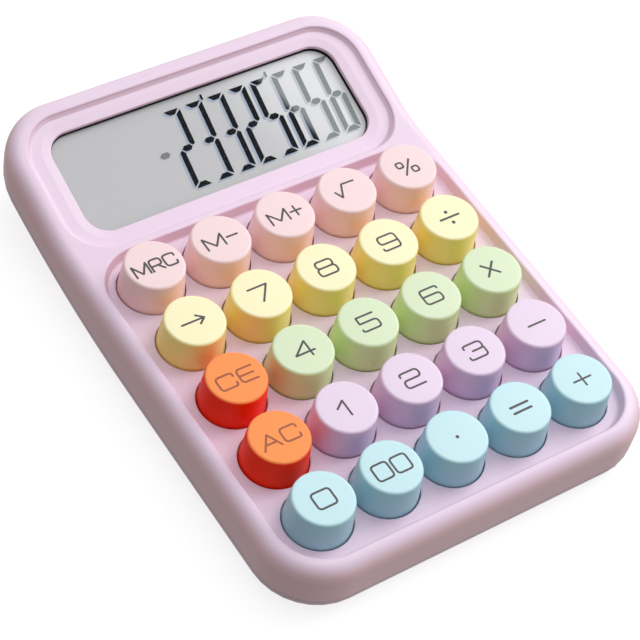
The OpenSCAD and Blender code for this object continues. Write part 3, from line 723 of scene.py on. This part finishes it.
def new_material(name):
    """A material with its node tree, its shader and the coordinates that its patterns read."""
    material = bpy.data.materials.new(name)
    material.use_nodes = True
    tree = material.node_tree
    coordinates = tree.nodes.new("ShaderNodeTexCoord").outputs["Object"]
    return material, tree, tree.nodes["Principled BSDF"], coordinates


def use_group(tree, group, values):
    return add_node(tree, "ShaderNodeGroup", values, node_tree=group)


def surfaced(new, colour, tone, grain, others, tone_scale=TONE_SCALE):
    """Gives a new material a softly varied colour, a grain and its other values.

    The grain is its roughness, how far that varies, its scale and its height in millimetres.
    """
    material, tree, shader, coordinates = new
    roughness, spread, grain_scale, height = grain
    toned = use_group(
        tree, TONE, {"Vector": coordinates, "Color": colour, "Scale": tone_scale, "Spread": tone}
    )
    grained = use_group(
        tree, GRAIN,
        {"Vector": coordinates, "Grain Scale": grain_scale, "Roughness": roughness,
         "Roughness Spread": spread},
    )
    bump = add_node(
        tree, "ShaderNodeBump", {"Height": grained["Height"], "Strength": 0.5, "Distance": height * MM}
    )
    set_sockets(tree, shader, {
        "Base Color": toned["Color"], "Roughness": grained["Roughness"], "Normal": bump[0], **others,
    })
    return material


def painted_shoulder_shade_mask(tree, coordinates):
    """Share that is 1 on the housing's outer sides and rounded shoulder, and 0 further in: where the
    shoulder's painted shade goes.
    """
    corner = ((BODY_HW - CORNER_R) * MM, (BACK_Y - CORNER_R) * MM, 1)
    mirrored = result(tree, "ABSOLUTE", coordinates, kind=VECTOR_MATH)
    past = result(tree, "SUBTRACT", mirrored, corner, kind=VECTOR_MATH)
    outside = result(tree, "MAXIMUM", past, (0, 0, 0), kind=VECTOR_MATH)
    reach = add_node(tree, VECTOR_MATH, {0: outside}, operation="LENGTH")["Value"]
    shoulder_start = (CORNER_R - SHOULDER_W) * MM
    return smooth_share(tree, reach, shoulder_start - SHOULDER_SHADE_BLEND * MM, shoulder_start)


def plastic(
    name, side, top=None, roughness=0.45, bump_height=0.012, tone=0.05, soft_light=0.0, shine=0.5,
    painted_shoulder_shade=None, up=(0.3, 1.0),
):
    """Moulded plastic: a side colour, a paler top painted as light falling from above, fine grain and, on a
    housing, a darker shoulder painted as shade.
    """
    new = new_material(name)
    tree, coordinates = new[1], new[3]
    side_with_painted_shade = linear(side)
    if painted_shoulder_shade:
        side_with_painted_shade = mixed_colour(tree, painted_shoulder_shade_mask(tree, coordinates), side_with_painted_shade, linear(painted_shoulder_shade))
    colour = use_group(
        tree, PAINTED_TOP_LIGHT,
        {"Side Color": side_with_painted_shade, "Top Color": linear(top or side), "From": up[0], "To": up[1]},
    )["Color"]
    others = {
        "Specular IOR Level": shine, "Subsurface Weight": soft_light,
        "Subsurface Radius": (0.0012, 0.0008, 0.0006), "Subsurface Scale": 1.0,
    }
    return surfaced(new, colour, tone, (roughness, 0.1, MOULDED_GRAIN_SCALE, bump_height), others)


def brushed_metal(name, colour, roughness=0.3):
    grain = (roughness, 0.25, 5000.0, 0.006)
    return surfaced(new_material(name), linear(colour), 0.25, grain, {"Metallic": 1.0}, 400.0)


def clear_sheet(name, tint, roughness, veil):
    """Clear sheet, seen as a thin veil of its tint and gloss over what lies behind it."""
    grain = (roughness, 0.03, 900.0, 0.001)
    return surfaced(new_material(name), linear(tint), 0.02, grain, {"Alpha": veil}, 60.0)


def across_display(tree, coordinates, start, end):
    """Share that grows from 0 to 1 between two places across the display, along a leaning line."""
    split = add_node(tree, "ShaderNodeSeparateXYZ", {0: coordinates})
    slope = SHADE_LEAN / math.cos(TILT)
    middle_y = (BEND_Y + DIGIT_V * math.cos(TILT)) * MM
    along = result(tree, "MULTIPLY_ADD", split["Y"], slope, -slope * middle_y)
    return smooth_share(tree, result(tree, "ADD", split["X"], along), start * MM, end * MM)


def display_shade(name, left, right, start, end, roughness, shine):
    """A matte colour of the display that turns into another one towards its right end."""
    new = new_material(name)
    share = across_display(new[1], new[3], start, end)
    colour = mixed_colour(new[1], share, linear(left), linear(right))
    grain = (roughness, 0.1, MOULDED_GRAIN_SCALE, 0.002)
    return surfaced(new, colour, 0.03, grain, {"Specular IOR Level": shine})


def dress(piece, material):
    piece.data.materials.clear()
    piece.data.materials.append(material)


def hand_over(piece, body, slot, *nodes, material=None):
    """Dresses a finished piece in its slot's material or in a given one, puts it under its body and hides the
    CAD nodes it stands for.
    """
    dress(piece, material or SLOTS[slot])
    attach(piece, body)
    if nodes:
        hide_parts(*nodes)


# ---- Keys ----

FLANGE_R = KEY_BASE_R + FLANGE_W
PLUNGER_Z = box_mm("keycap_5")[0].z
RIB_W = 1.2
RIB_T = 1


def crown_z(r):
    """Height of a key's very slightly crowned top at a radius."""
    return KEY_TOP - KEY_CROWN * (r / KEY_TOP_R) ** 2


def keycap_profile():
    """From the middle of the top, over its edge, down the taper to the flange and back inside."""
    flat_r = KEY_TOP_R - KEY_EDGE
    crown = [(r, crown_z(r)) for r in np.linspace(0, flat_r, 7)]
    edge_z = crown_z(flat_r) - KEY_EDGE
    edge = arc_points(flat_r, edge_z, KEY_EDGE, 86, 4, 8)
    return [
        *crown, *edge,
        (KEY_BASE_R, TRAY_Z),
        (KEY_BASE_R, FLANGE_Z + FLANGE_T),
        (FLANGE_R, FLANGE_Z + FLANGE_T),
        (FLANGE_R, FLANGE_Z),
        (KEY_BASE_R - KEY_WALL, FLANGE_Z),
        (KEY_TOP_R - KEY_WALL, KEY_TOP - KEY_WALL),
        (PLUNGER_R, KEY_TOP - KEY_WALL),
        (PLUNGER_R, PLUNGER_Z),
        (0, PLUNGER_Z),
    ]


def keycap_master(material):
    """One keycap at the origin, with notches in its flange for the housing's ribs."""
    cap = turned("keycap_master", keycap_profile(), 96, material)
    half_w, half_t = RIB_W / 2 + JOINT_GAP, RIB_T / 2 + JOINT_GAP
    notches = [
        ((-half_w, y - half_t, FLANGE_Z - 1), (half_w, y + half_t, FLANGE_Z + FLANGE_T + 0.5))
        for y in (-PITCH_Y / 2, PITCH_Y / 2)
    ]
    cut_or_join(cap, blocks(notches), "DIFFERENCE")
    return cap


def place_copy(name, mesh, x, y):
    """A copy of a mesh made at the origin, with its place in its own points."""
    copy = mesh.copy()
    copy.transform(Matrix.Translation((x * MM, y * MM, 0)))
    return new_object(name, copy)


# ---- Legends ----

INK_T = 0.02
STROKE_W = 0.54
STROKE_WIDTHS = {".": 0.9, "=": 0.65, "x": 0.62, "/": 0.62}
DIVIDE_DOT_W = 1.0
SHARP_BEND = 0.12
SMALL_LOOP_BEND = 0.6
BEND = 1
GLYPH_H = 4.5
GLYPH_W = 5.1
GLYPH_CENTRE_X = -0.15
GLYPH_CENTRE_Y = -0.25
LEGEND_HEIGHTS = {"MRC": 3.5, "M-": 3.7, "M+": 3.7, "CE": 3.9, "AC": 3.9, "x": 4.37}
LEGEND_WIDTHS = {
    "MRC": [3.9, 3.1, 3.1], "M-": [5.1, 3], "M+": [5.1, 3.1], "CE": [4.5, 4.3], "AC": [4.7, 4.3],
    "00": [4.3, 4.3], "x": [4.25],
}
LEGEND_GAP = 1.2
LEGEND_GAPS = {"MRC": 0.75, "M-": 1.1, "M+": 1, "00": 1}

# Each glyph is a list of strokes, in a box one unit wide and high. A stroke in round brackets is closed
GLYPHS = {
    "0": [((0, 0), (1, 0), (1, 1), (0, 1))],
    "1": [[(0.04, 0.62), (0.5, 1), (0.5, 0)]],
    "2": [[(0, 0.8), (0, 1), (1, 1), (1, 0.5), (0, 0.5), (0, 0), (1, 0)]],
    "3": [[(0, 0.8), (0, 1), (1, 1), (1, 0.52), (0.35, 0.52)], [(1, 0.52), (1, 0), (0, 0), (0, 0.2)]],
    "4": [[(0.76, 0), (0.76, 1), (-0.04, 0.28), (1, 0.28)]],
    "5": [[(0.96, 1), (0.02, 1), (0.02, 0.56)], [(0.02, 0.56), (1, 0.56), (1, 0), (-0.02, 0), (-0.02, 0.16)]],
    "6": [[(1, 0.84), (1, 1), (0, 1), (0, 0), (1, 0), (1, 0.54), (0, 0.54)]],
    "7": [[(-0.04, 1), (1, 1), (0.36, 0)]],
    "8": [((0.03, 0.53), (0.95, 0.53), (0.95, 1), (0.03, 1)),
          ((-0.02, 0), (1, 0), (1, 0.53), (-0.02, 0.53))],
    "9": [[(0, 0.16), (0, 0), (1, 0), (1, 1), (0, 1), (0, 0.46), (1, 0.46)]],
    "M": [[(0, 0), (0, 1), (0.5, 0.12), (1, 1), (1, 0)]],
    "R": [[(0, 0), (0, 1), (1, 1), (1, 0.42), (0, 0.42)], [(0.6, 0.42), (1, 0)]],
    "C": [[(1, 0.74), (1, 1), (0, 1), (0, 0), (1, 0), (1, 0.26)]],
    "A": [[(0, 0), (0.56, 1), (1, 0)], [(0.2, 0.34), (0.86, 0.34)]],
    "E": [[(1, 1), (0, 1), (0, 0), (1, 0)], [(0, 0.5), (0.92, 0.5)]],
    "-": [[(0, 0.5), (1, 0.5)]],
    "+": [[(0, 0.5), (1, 0.5)], [(0.5, 0.08), (0.5, 0.92)]],
    "x": [[(-0.02, 0.15), (0.82, 1.01)], [(-0.02, 1.01), (0.82, 0.15)]],
    "=": [[(0, 0.3), (1, 0.3)], [(0, 0.7), (1, 0.7)]],
    "/": [[(-0.05, 0.5), (1.05, 0.5)], [(0.5, 0.9), (0.5, 0.91)], [(0.5, 0.09), (0.5, 0.1)]],
    ".": [[(0.5, 0.5), (0.5, 0.51)]],
    ">": [[(-0.22, 0.5), (1, 0.5)], [(0.66, 0.8), (1, 0.5), (0.66, 0.2)]],
    "r": [[(-0.18, 0.62), (0.02, 0.13), (0.4, 1.02), (1.1, 1)]],
    "%": [[(0.12, -0.02), (0.8, 0.98)], ((-0.06, 0.56), (0.29, 0.56), (0.29, 0.95), (-0.06, 0.95)),
          ((0.61, 0), (0.96, 0), (0.96, 0.39), (0.61, 0.39))],
}


def rounded_path(points, radius, closed):
    """A path whose corners are short curves."""
    points = [np.array(p, float) for p in points]
    count = len(points)
    if count < 3:
        return points
    inner = range(count) if closed else range(1, count - 1)
    out = [] if closed else [points[0]]
    for i in inner:
        out += bent(points[i - 1], points[i], points[(i + 1) % count], radius, 0.5, 6)
    return out if closed else [*out, points[-1]]


def stroke_shapes(path, width, closed):
    """The rectangles and round ends that a pen of a width covers along a path."""
    pen = circle(0, 0, width / 2, 0, 16)[:, :2]
    shapes = [pen + p for p in path]
    ends = path[1:] + path[:1] if closed else path[1:]
    for a, b in zip(path, ends):
        length = np.linalg.norm(b - a)
        if length < 1e-6:
            continue
        side = np.array([-(b - a)[1], (b - a)[0]]) / length * width / 2
        shapes.append(np.array([a + side, a - side, b - side, b + side]))
    return shapes


def legend_shapes(text):
    """Pen shapes of a key's legend, in millimetres about the middle of its top."""
    height = LEGEND_HEIGHTS.get(text, GLYPH_H)
    widths = LEGEND_WIDTHS.get(text, [GLYPH_W])
    gap = LEGEND_GAPS.get(text, LEGEND_GAP)
    left = GLYPH_CENTRE_X - (sum(widths) + (len(text) - 1) * gap) / 2
    shapes = []
    for letter, width in zip(text, widths):
        for stroke in GLYPHS[letter]:
            closed = isinstance(stroke, tuple)
            placed = [(left + x * width, GLYPH_CENTRE_Y + (y - 0.5) * height) for x, y in stroke]
            sharp = letter in "MA147x/>r" or (letter == "5" and len(stroke) == 3)
            bend = SHARP_BEND if sharp else SMALL_LOOP_BEND if letter == "%" else BEND
            is_divide_dot = letter == "/" and stroke[0][0] == 0.5
            pen_w = DIVIDE_DOT_W if is_divide_dot else STROKE_WIDTHS.get(letter, STROKE_W)
            shapes += stroke_shapes(rounded_path(placed, bend, closed), pen_w, closed)
        left += width + gap
    return shapes


def printed(shapes, reach):
    """A thin solid over the union of flat shapes, that reaches as far below z = 0 as above it."""
    flat = np.concatenate(shapes)
    starts = np.cumsum([0] + [len(s) for s in shapes])
    faces = [list(range(a, b)) for a, b in zip(starts, starts[1:])]
    found = delaunay_2d_cdt([Vector(p) for p in flat], [], faces, 1, 1e-5)
    corners = np.array([tuple(p) for p in found[0]])
    count = len(corners)
    top = np.column_stack([corners, np.full(count, reach)])
    edges = {}
    faces = []
    for (a, b, c), covered_by in zip(found[2], found[5]):
        if covered_by:
            faces += [(a, b, c), (c + count, b + count, a + count)]
            edges.update({(a, b): True, (b, c): True, (c, a): True})
    faces += [(a, a + count, b + count, b) for a, b in edges if (b, a) not in edges]
    return np.concatenate([top, top * [1, 1, -1]]), faces


def add_print(name, points, faces, material, body, slot):
    piece = finished(name, new_mesh(name, points, faces), 1e-7)
    hand_over(piece, body, slot, material=material)


def add_legend(name, text, material):
    points, faces = printed(legend_shapes(text), INK_T)
    points[:, 2] += crown_z(np.hypot(points[:, 0], points[:, 1]))
    points += [*KEY_CENTRES[name], 0]
    add_print("legend_" + name, points, faces, material, "key_" + name, "legend_ink")


# ---- Display ----

GLUED_OVERLAP = 1.4
BORDER_DEPTH = 3.405
BORDER_SEEN = 0.22
PRINT_T = 0.02
SEGMENT_DEPTH = 3.44
# The number's paler copy is a painted shadow of the segments on the reflector: a little deeper, and shifted
# down and left
SEGMENT_SHADOW_DEPTH = 3.47
SEGMENT_SHADOW_SHIFT = (-0.75, -0.45)
SHADE_LEAN = 0.35
DIGIT_PITCH = 6.674
DIGIT_W = 5.1
DIGIT_H = 22.7
DIGIT_V = 13.54
FIRST_DIGIT_X = -7.63
UPRIGHT_W = 1.5
LEVEL_W = 1.42
MIDDLE_W = 1.65
SEGMENT_GAP = 0.25
SEGMENT_NIP = 0.1
SEGMENT_POINT = 0.45
SLANT = 0.087
TICK_X = 0.7
TICK_LEAN = 0.1
TICK_V = (11.4, 12.5)
TICK_W = 0.65
SHOWN_NUMBER = "23325656"
LIT = {"2": "abged", "3": "abgcd", "5": "afgcd", "6": "afgecd", "-": "g"}


def segment_shapes():
    """The seven bars of a digit, about its middle, upright and without slant."""
    w, h, gap, nip = DIGIT_W / 2, DIGIT_H / 2, SEGMENT_GAP, SEGMENT_NIP
    inner_x, inner_y, half = w - UPRIGHT_W, h - LEVEL_W, MIDDLE_W / 2
    top = np.array([
        (-w + gap + nip, h), (w - gap - nip, h), (inner_x - gap, inner_y), (gap - inner_x, inner_y),
    ])
    side = np.array([
        (w, h - gap - 2 * nip), (inner_x, inner_y - gap), (inner_x, half + gap + nip),
        (w - UPRIGHT_W / 2, gap), (w, gap + SEGMENT_POINT),
    ])
    middle = np.array([
        (-inner_x - UPRIGHT_W / 2 + gap, 0), (gap - inner_x, half), (inner_x - gap, half),
        (inner_x + UPRIGHT_W / 2 - gap, 0), (inner_x - gap, -half), (gap - inner_x, -half),
    ])
    return {
        "a": top, "d": top * [1, -1], "g": middle,
        "b": side, "c": side * [1, -1], "e": side * [-1, -1], "f": side * [-1, 1],
    }


def anticlockwise(shape):
    x, y = shape.T
    area = np.sum(x * np.roll(y, -1) - np.roll(x, -1) * y)
    return shape if area > 0 else shape[::-1]


def digit_shapes(figure, place):
    """A figure's bars, slanted and moved to its place in the number."""
    shapes = []
    centre = FIRST_DIGIT_X + DIGIT_PITCH * place
    bars = segment_shapes()
    for bar in LIT[figure]:
        x, v = bars[bar].T
        shapes.append(anticlockwise(np.stack([centre + x + SLANT * v, DIGIT_V + v], 1)))
    return shapes


def display_print(name, shapes, depth, material, slot):
    """Flat print on the display's plane at a depth under the housing's slope."""
    points, faces = printed(shapes, PRINT_T / 2)
    add_print(name, on_slope(points - [0, 0, depth]), faces, material, "housing", slot)


def number_shapes():
    """All figures of the number, and the small ticks that part its thousands."""
    shapes = []
    for place, figure in enumerate(SHOWN_NUMBER):
        shapes += digit_shapes(figure, place)
    for place in (1.5, 4.5):
        x = FIRST_DIGIT_X + DIGIT_PITCH * place + TICK_X
        tick = np.array([(x - TICK_LEAN, DIGIT_V + TICK_V[0]), (x, DIGIT_V + TICK_V[1])])
        shapes += stroke_shapes(list(tick), TICK_W, False)
    return shapes


def lens_border(material):
    """Black print under the lens, from just inside the window's edge outwards."""
    outer = inset(WINDOW_PLAN, -GLUED_OVERLAP)
    inner = inset(WINDOW_PLAN, BORDER_SEEN)
    section = [(outer, 0), (outer, PRINT_T), (inner, PRINT_T), (inner, 0), (outer, 0)]
    stations = [station(plan, -BORDER_DEPTH - under) for plan, under in section]
    shell = Shell()
    shell.band(chain(stations, level(0), level(0), on_slope, side_steps=1))
    hand_over(shell.make("lens_border"), "housing", "lens_print", material=material)


# ---- Bosses and ribs of the front housing ----

BOSS_R = 3
BOSS_BORE_R = 1.25
BOARD_BOSS_R = 2.4
BOARD_BOSS_BORE_R = 0.95
MAT_T = 0.8
BOARD_Z = box_mm("main_board")[0].z
MAT_Z = box_mm("main_board")[1].z
MAT_TOP_Z = MAT_Z + MAT_T
GRID_Y = KEY_CENTRES["5"][1]
PITCH_X = KEY_CENTRES["6"][0] - KEY_CENTRES["5"][0]
BORE_CAP = 1
PAST_BOARD = 0.1
SINK = 0.6
LIP_H = 1.4
SIDE_BOSS_X = BODY_HW - WALL - BOSS_R - 0.2
SIDE_BOSS_Y = BEND_Y + 13


def boss_places():
    """(x, y, lower end, ceiling) of the bosses that the rear housing is screwed to."""
    places = [
        (x * PITCH_X, GRID_Y + y * PITCH_Y, BOARD_Z - PAST_BOARD, PLATE_Z)
        for x in (-1.5, 1.5) for y in (-1.5, 1.5)
    ]
    low = seam_z(SIDE_BOSS_Y + BOSS_R) + LIP_H + JOINT_GAP
    ceiling = RIM_Z + (SIDE_BOSS_Y - BEND_Y) * math.tan(TILT) - BEZEL_DEPTH / math.cos(TILT)
    return places + [(x, SIDE_BOSS_Y, low, ceiling) for x in (-SIDE_BOSS_X, SIDE_BOSS_X)]


def board_boss_places():
    """(x, y) of the shorter bosses that the main board is screwed to."""
    outer = [(x * PITCH_X / 2, GRID_Y + y * PITCH_Y) for x in (-1, 1) for y in (-1.5, 1.5)]
    middle = [(x * PITCH_X * 1.5, GRID_Y - PITCH_Y / 2) for x in (-1, 1)]
    return outer + middle


def boss(x, y, low, ceiling, radius, bore):
    """A boss with a blind bore, whose root sinks into the ceiling that it hangs from."""
    bore_end = ceiling - BORE_CAP
    profile = [
        (0, bore_end), (bore, bore_end), (bore, low), (radius, low), (radius, ceiling + SINK),
        (0, ceiling + SINK),
    ]
    tool = turned("boss", profile, 40, None)
    tool.data.transform(Matrix.Translation((x * MM, y * MM, 0)))
    return tool


def add_bosses_and_ribs(front):
    sizes = [(*place, BOSS_R, BOSS_BORE_R) for place in boss_places()]
    sizes += [(*place, MAT_Z, PLATE_Z, BOARD_BOSS_R, BOARD_BOSS_BORE_R) for place in board_boss_places()]
    for boss_size in sizes:
        cut_or_join(front, boss(*boss_size), "UNION")
    ribs = []
    for x in PITCH_X * np.arange(-2, 3):
        for y in GRID_Y + PITCH_Y * np.arange(-2.5, 3):
            low = (x - RIB_W / 2, y - RIB_T / 2, MAT_TOP_Z + SINK)
            ribs.append((low, (x + RIB_W / 2, y + RIB_T / 2, PLATE_Z + SINK)))
    cut_or_join(front, blocks(ribs), "UNION")


# ---- Copies of CAD solids with softened edges ----


def softened_copy(node, body, width):
    """A merged copy of a CAD node, with narrow rounded edges. Its slot has the node's name."""
    piece = finished(node + "_moulding", frame["nodes"][node].data.copy(), 1e-6)
    bevel = piece.modifiers.new("soft_edges", "BEVEL")
    bevel.width = width * MM
    bevel.segments = 2
    bevel.limit_method = "ANGLE"
    bevel.angle_limit = math.radians(SMOOTH_ANGLE)
    bevel.harden_normals = False
    keep_mesh(piece)
    weigh_normals(piece)
    hand_over(piece, body, node, node)


# ---- Feet and domes ----

FOOT_PLACES = [[c / MM for c in mount["pos_m"]] for mount in frame["record"]["mounts"]]
FOOT_R = 4.5
FOOT_EDGE = 0.4


def add_feet():
    height = box_mm("rubber_feet")[1].z
    edge = arc_points(FOOT_R - FOOT_EDGE, FOOT_EDGE, FOOT_EDGE, -90, 0, 6)
    rubber = SLOTS["foot_rubber"]
    foot = turned("foot", [(0, 0), *edge, (FOOT_R, height), (0, height)], 48, rubber)
    feet = copied("feet", FOOT_PLACES, foot, rubber)
    hand_over(feet, "housing", "foot_rubber", "rubber_feet")


DOME_TOP_Z = box_mm("dome_mat")[1].z
DOME_BASE_R = 4.8
DOME_TOP_R = 2.6
DOME_WALL = 0.5
DOME_PILL_T = 0.5
DOME_EDGE = 0.35
DOME_FLARE = 1.3


def dome_profile():
    """A silicone dome: a soft bell with a thicker pill under the middle of its top."""
    edge_z = DOME_TOP_Z - DOME_EDGE
    under = DOME_TOP_Z - DOME_WALL
    flare = DOME_BASE_R - DOME_TOP_R
    return [
        (0, DOME_TOP_Z),
        *arc_points(DOME_TOP_R - DOME_EDGE, edge_z, DOME_EDGE, 90, 20, 5),
        *[
            (DOME_TOP_R + flare * t ** DOME_FLARE, edge_z - (edge_z - MAT_TOP_Z) * t)
            for t in np.linspace(0.1, 1, 7)
        ],
        (DOME_BASE_R - DOME_WALL, MAT_TOP_Z),
        (DOME_TOP_R - DOME_WALL / 2, under),
        (DOME_TOP_R - 2 * DOME_WALL, under),
        (DOME_TOP_R - 2 * DOME_WALL, under - DOME_PILL_T),
        (0, under - DOME_PILL_T),
    ]


def add_domes():
    """The mat's flat sheet, and a dome for each key."""
    sheet = finished("dome_sheet", frame["nodes"]["dome_mat"].data.copy(), 1e-6)
    low, high = box_mm("dome_mat")
    sheet_space = (low - Vector((1, 1, 1)), (high.x + 1, high.y + 1, MAT_TOP_Z))
    cut_or_join(sheet, blocks([sheet_space]), "INTERSECT")
    hand_over(sheet, "housing", "silicone", "dome_mat")
    master = turned("dome_master", dome_profile(), 40, SLOTS["silicone"])
    for name, (x, y) in KEY_CENTRES.items():
        dome = place_copy("dome_" + name, master.data, x, y)
        hand_over(dome, "housing", "silicone")
        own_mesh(dome)
    bpy.data.objects.remove(master)


# ---- Materials of the slots, and assembly ----

# A side colour, deeper as painted shade, and a paler top, painted as light from above, for the keys of each
# row, from the back to the front
KEY_COLOURS = {
    "key_pink": ("#fddad9", "#f4dadc"),
    "key_yellow": ("#ffe786", "#fbf4c8"),
    "key_green": ("#d5eea6", "#d8e8c6"),
    "key_lilac": ("#e4c0de", "#e6d4e9"),
    "key_blue": ("#a4d3df", "#c5e8ef"),
}
ROW_SLOTS = list(KEY_COLOURS)
SLOTS = {
    slot: plastic(slot, side, top, 0.42, soft_light=0.1) for slot, (side, top) in KEY_COLOURS.items()
}
SLOTS |= {
    # The housings and the cover are paler on top as painted light and deeper on their sides as painted shade;
    # the front housing's darker shoulder is painted shade as well
    "front_housing": plastic(
        "housing_lilac", "#e2c4d4", "#e7d2e6", 0.4, painted_shoulder_shade="#dcb9bf", up=(0.4, 1.0)
    ),
    "rear_housing": plastic("rear_lilac", "#cdb7c1", "#d3bfcc", 0.5),
    "battery_cover": plastic("cover_lilac", "#cdb7c1", "#d3bfcc", 0.5),
    # The orange keys' paler top is painted light and their deeper side painted shade
    "key_orange": plastic("key_orange", "#ff2c00", "#ff9a58", 0.5, soft_light=0.1, shine=0.2),
    "display_lens": clear_sheet("lens_acrylic", "#868c92", 0.06, 0.015),
    "polariser": display_shade("display_grey", "#c1c3c5", "#e4e7ea", 5, 38, 0.5, 0.3),
    "tape": plastic("foam_tape", "#17161a", roughness=0.85, bump_height=0.05),
    "lcd_glass": plastic("display_glass", "#9da5a2", roughness=0.08, bump_height=0.001),
    "reflector": plastic("reflector_grey", "#c6c8ca", roughness=0.55, bump_height=0.004, tone=0.03),
    "white_plastic": plastic("white_plastic", "#e3e2de"),
    "screw_steel": brushed_metal("screw_steel", "#b9b9bd"),
    "flex_film": plastic("flex_film", "#b5762c", roughness=0.3, tone=0.2),
    "silicone": plastic("silicone", "#d8d8dc", roughness=0.6, soft_light=0.5),
    "circuit_board": plastic("solder_mask", "#0d5a30", roughness=0.25, tone=0.25),
    "epoxy": plastic("black_epoxy", "#151516", roughness=0.4),
    "capacitor": plastic("capacitor_sleeve", "#20304f", roughness=0.3),
    "foot_rubber": plastic("foot_rubber", "#6d6670", roughness=0.85, bump_height=0.03),
    "battery_sleeve": plastic("battery_sleeve", "#6c7f90", roughness=0.25, tone=0.1),
    "contact_steel": brushed_metal("contact_steel", "#d2d2d0", 0.2),
    "wire_red": plastic("wire_red", "#b3161a", roughness=0.35),
    "wire_black": plastic("wire_black", "#161617", roughness=0.35),
}
INK = plastic("legend_ink", "#4b4549", roughness=0.5)
WARM_INK = plastic("legend_ink_warm", "#a2512f", roughness=0.5)
BORDER_INK = plastic("border_ink", "#0c0b0e", roughness=0.4)
SEGMENT_INK = display_shade("segment_ink", "#04070f", "#8c9396", 23.5, 27, 0.6, 0.05)
# Painted shadow of the segments, paler towards the right like the segments
PAINTED_SEGMENT_SHADOW = display_shade("segment_shade", "#a3b1c3", "#c6ccd1", 23.5, 27, 0.6, 0.2)
FAINT_INK = plastic("faint_segment", "#6f7376", roughness=0.5)


def dress_frame():
    """Every CAD node gets its slot's material, whether it is shown or not."""
    for entry in frame["record"]["subparts"]:
        dress(frame["nodes"][entry["node"]], SLOTS[entry["material_slot"]])


def add_front_housing():
    front = front_housing_skin()
    add_bosses_and_ribs(front)
    weigh_normals(front)
    hand_over(front, "housing", "front_housing", "front_housing", "key_plate")


def add_keys():
    master = keycap_master(INK)
    for row, keys in enumerate(KEY_ROWS):
        for name, text in keys:
            slot = "key_orange" if name in ("clear_entry", "all_clear") else ROW_SLOTS[row]
            cap = place_copy("cap_" + name, master.data, *KEY_CENTRES[name])
            hand_over(cap, "key_" + name, slot, "keycap_" + name)
            add_legend(name, text, WARM_INK if slot == "key_orange" else INK)
    bpy.data.objects.remove(master)


def add_display():
    lens_border(BORDER_INK)
    display_print("lcd_number", number_shapes(), SEGMENT_DEPTH, SEGMENT_INK, "lcd_segment")
    # A paler, shifted copy of the number is painted as the segments' shadow on the reflector
    painted_shadow_shapes = [shape + SEGMENT_SHADOW_SHIFT for shape in number_shapes()]
    display_print("lcd_number_shade", painted_shadow_shapes, SEGMENT_SHADOW_DEPTH, PAINTED_SEGMENT_SHADOW, "reflector")
    display_print("lcd_minus", digit_shapes("-", -1), SEGMENT_DEPTH, FAINT_INK, "lcd_segment")


# ---- Studio ----

# The floor is in millimetres, and the places and sizes of the lights are in metres
FLOOR_HW = 3000
FLOOR_GLOW = 0.76
BRIGHT_SIDE = (0.9, 0.45, 0)
SURROUNDINGS = {"From Min": -1, "From Max": 0.8, "To Min": 0.25, "To Max": 0.8}


def add_light(name, place, energy, size):
    """A square light that faces the middle of the floor."""
    data = bpy.data.lights.new(name, "AREA")
    data.energy = energy
    data.size = size
    light = new_object(name, data)
    light.location = place
    light.rotation_euler = (-Vector(place)).to_track_quat("-Z", "Y").to_euler()


def floor_white():
    """A floor that shows as bright as white paper from above, and lets light through to the underside."""
    white = plastic("floor_white", "#a0a0a0", roughness=0.8, bump_height=0.002, tone=0.01)
    tree = white.node_tree
    is_seen = add_node(tree, "ShaderNodeLightPath")["Is Camera Ray"]
    from_below = add_node(tree, "ShaderNodeNewGeometry")["Backfacing"]
    set_sockets(tree, tree.nodes["Principled BSDF"], {
        "Emission Color": (1, 1, 1, 1),
        "Emission Strength": result(tree, "MULTIPLY", is_seen, FLOOR_GLOW),
        "Alpha": result(tree, "GREATER_THAN", is_seen, from_below),
    })
    return white


def add_surroundings():
    """Soft light from all round that grows towards the bright side."""
    world = bpy.data.worlds.new("studio")
    world.use_nodes = True
    tree = world.node_tree
    direction = tree.nodes.new("ShaderNodeTexCoord").outputs["Generated"]
    across = add_node(tree, VECTOR_MATH, {0: direction, 1: BRIGHT_SIDE}, operation="DOT_PRODUCT")
    strength = add_node(tree, "ShaderNodeMapRange", {"Value": across["Value"], **SURROUNDINGS})
    set_sockets(
        tree, tree.nodes["Background"], {"Color": (1.0, 0.98, 0.98, 1), "Strength": strength[0]}
    )
    bpy.context.scene.world = world


def add_studio():
    bpy.context.scene.view_settings.view_transform = "Standard"
    add_surroundings()
    corners = [(x * FLOOR_HW, y * FLOOR_HW, 0) for x, y in ((-1, -1), (1, -1), (1, 1), (-1, 1))]
    floor = new_object("floor", new_mesh("floor", corners, [(0, 1, 2, 3)]))
    dress(floor, floor_white())
    add_light("key_light", (0.95, 0.15, 0.8), 8.2, 0.8)
    add_light("top_light", (0.1, 0.1, 1.3), 4, 1.0)


dress_frame()
add_front_housing()
softened_copy("rear_housing", "housing", 0.2)
softened_copy("battery_cover", "battery_cover", 0.15)
add_feet()
add_keys()
add_domes()
add_display()
add_camera()
add_studio()
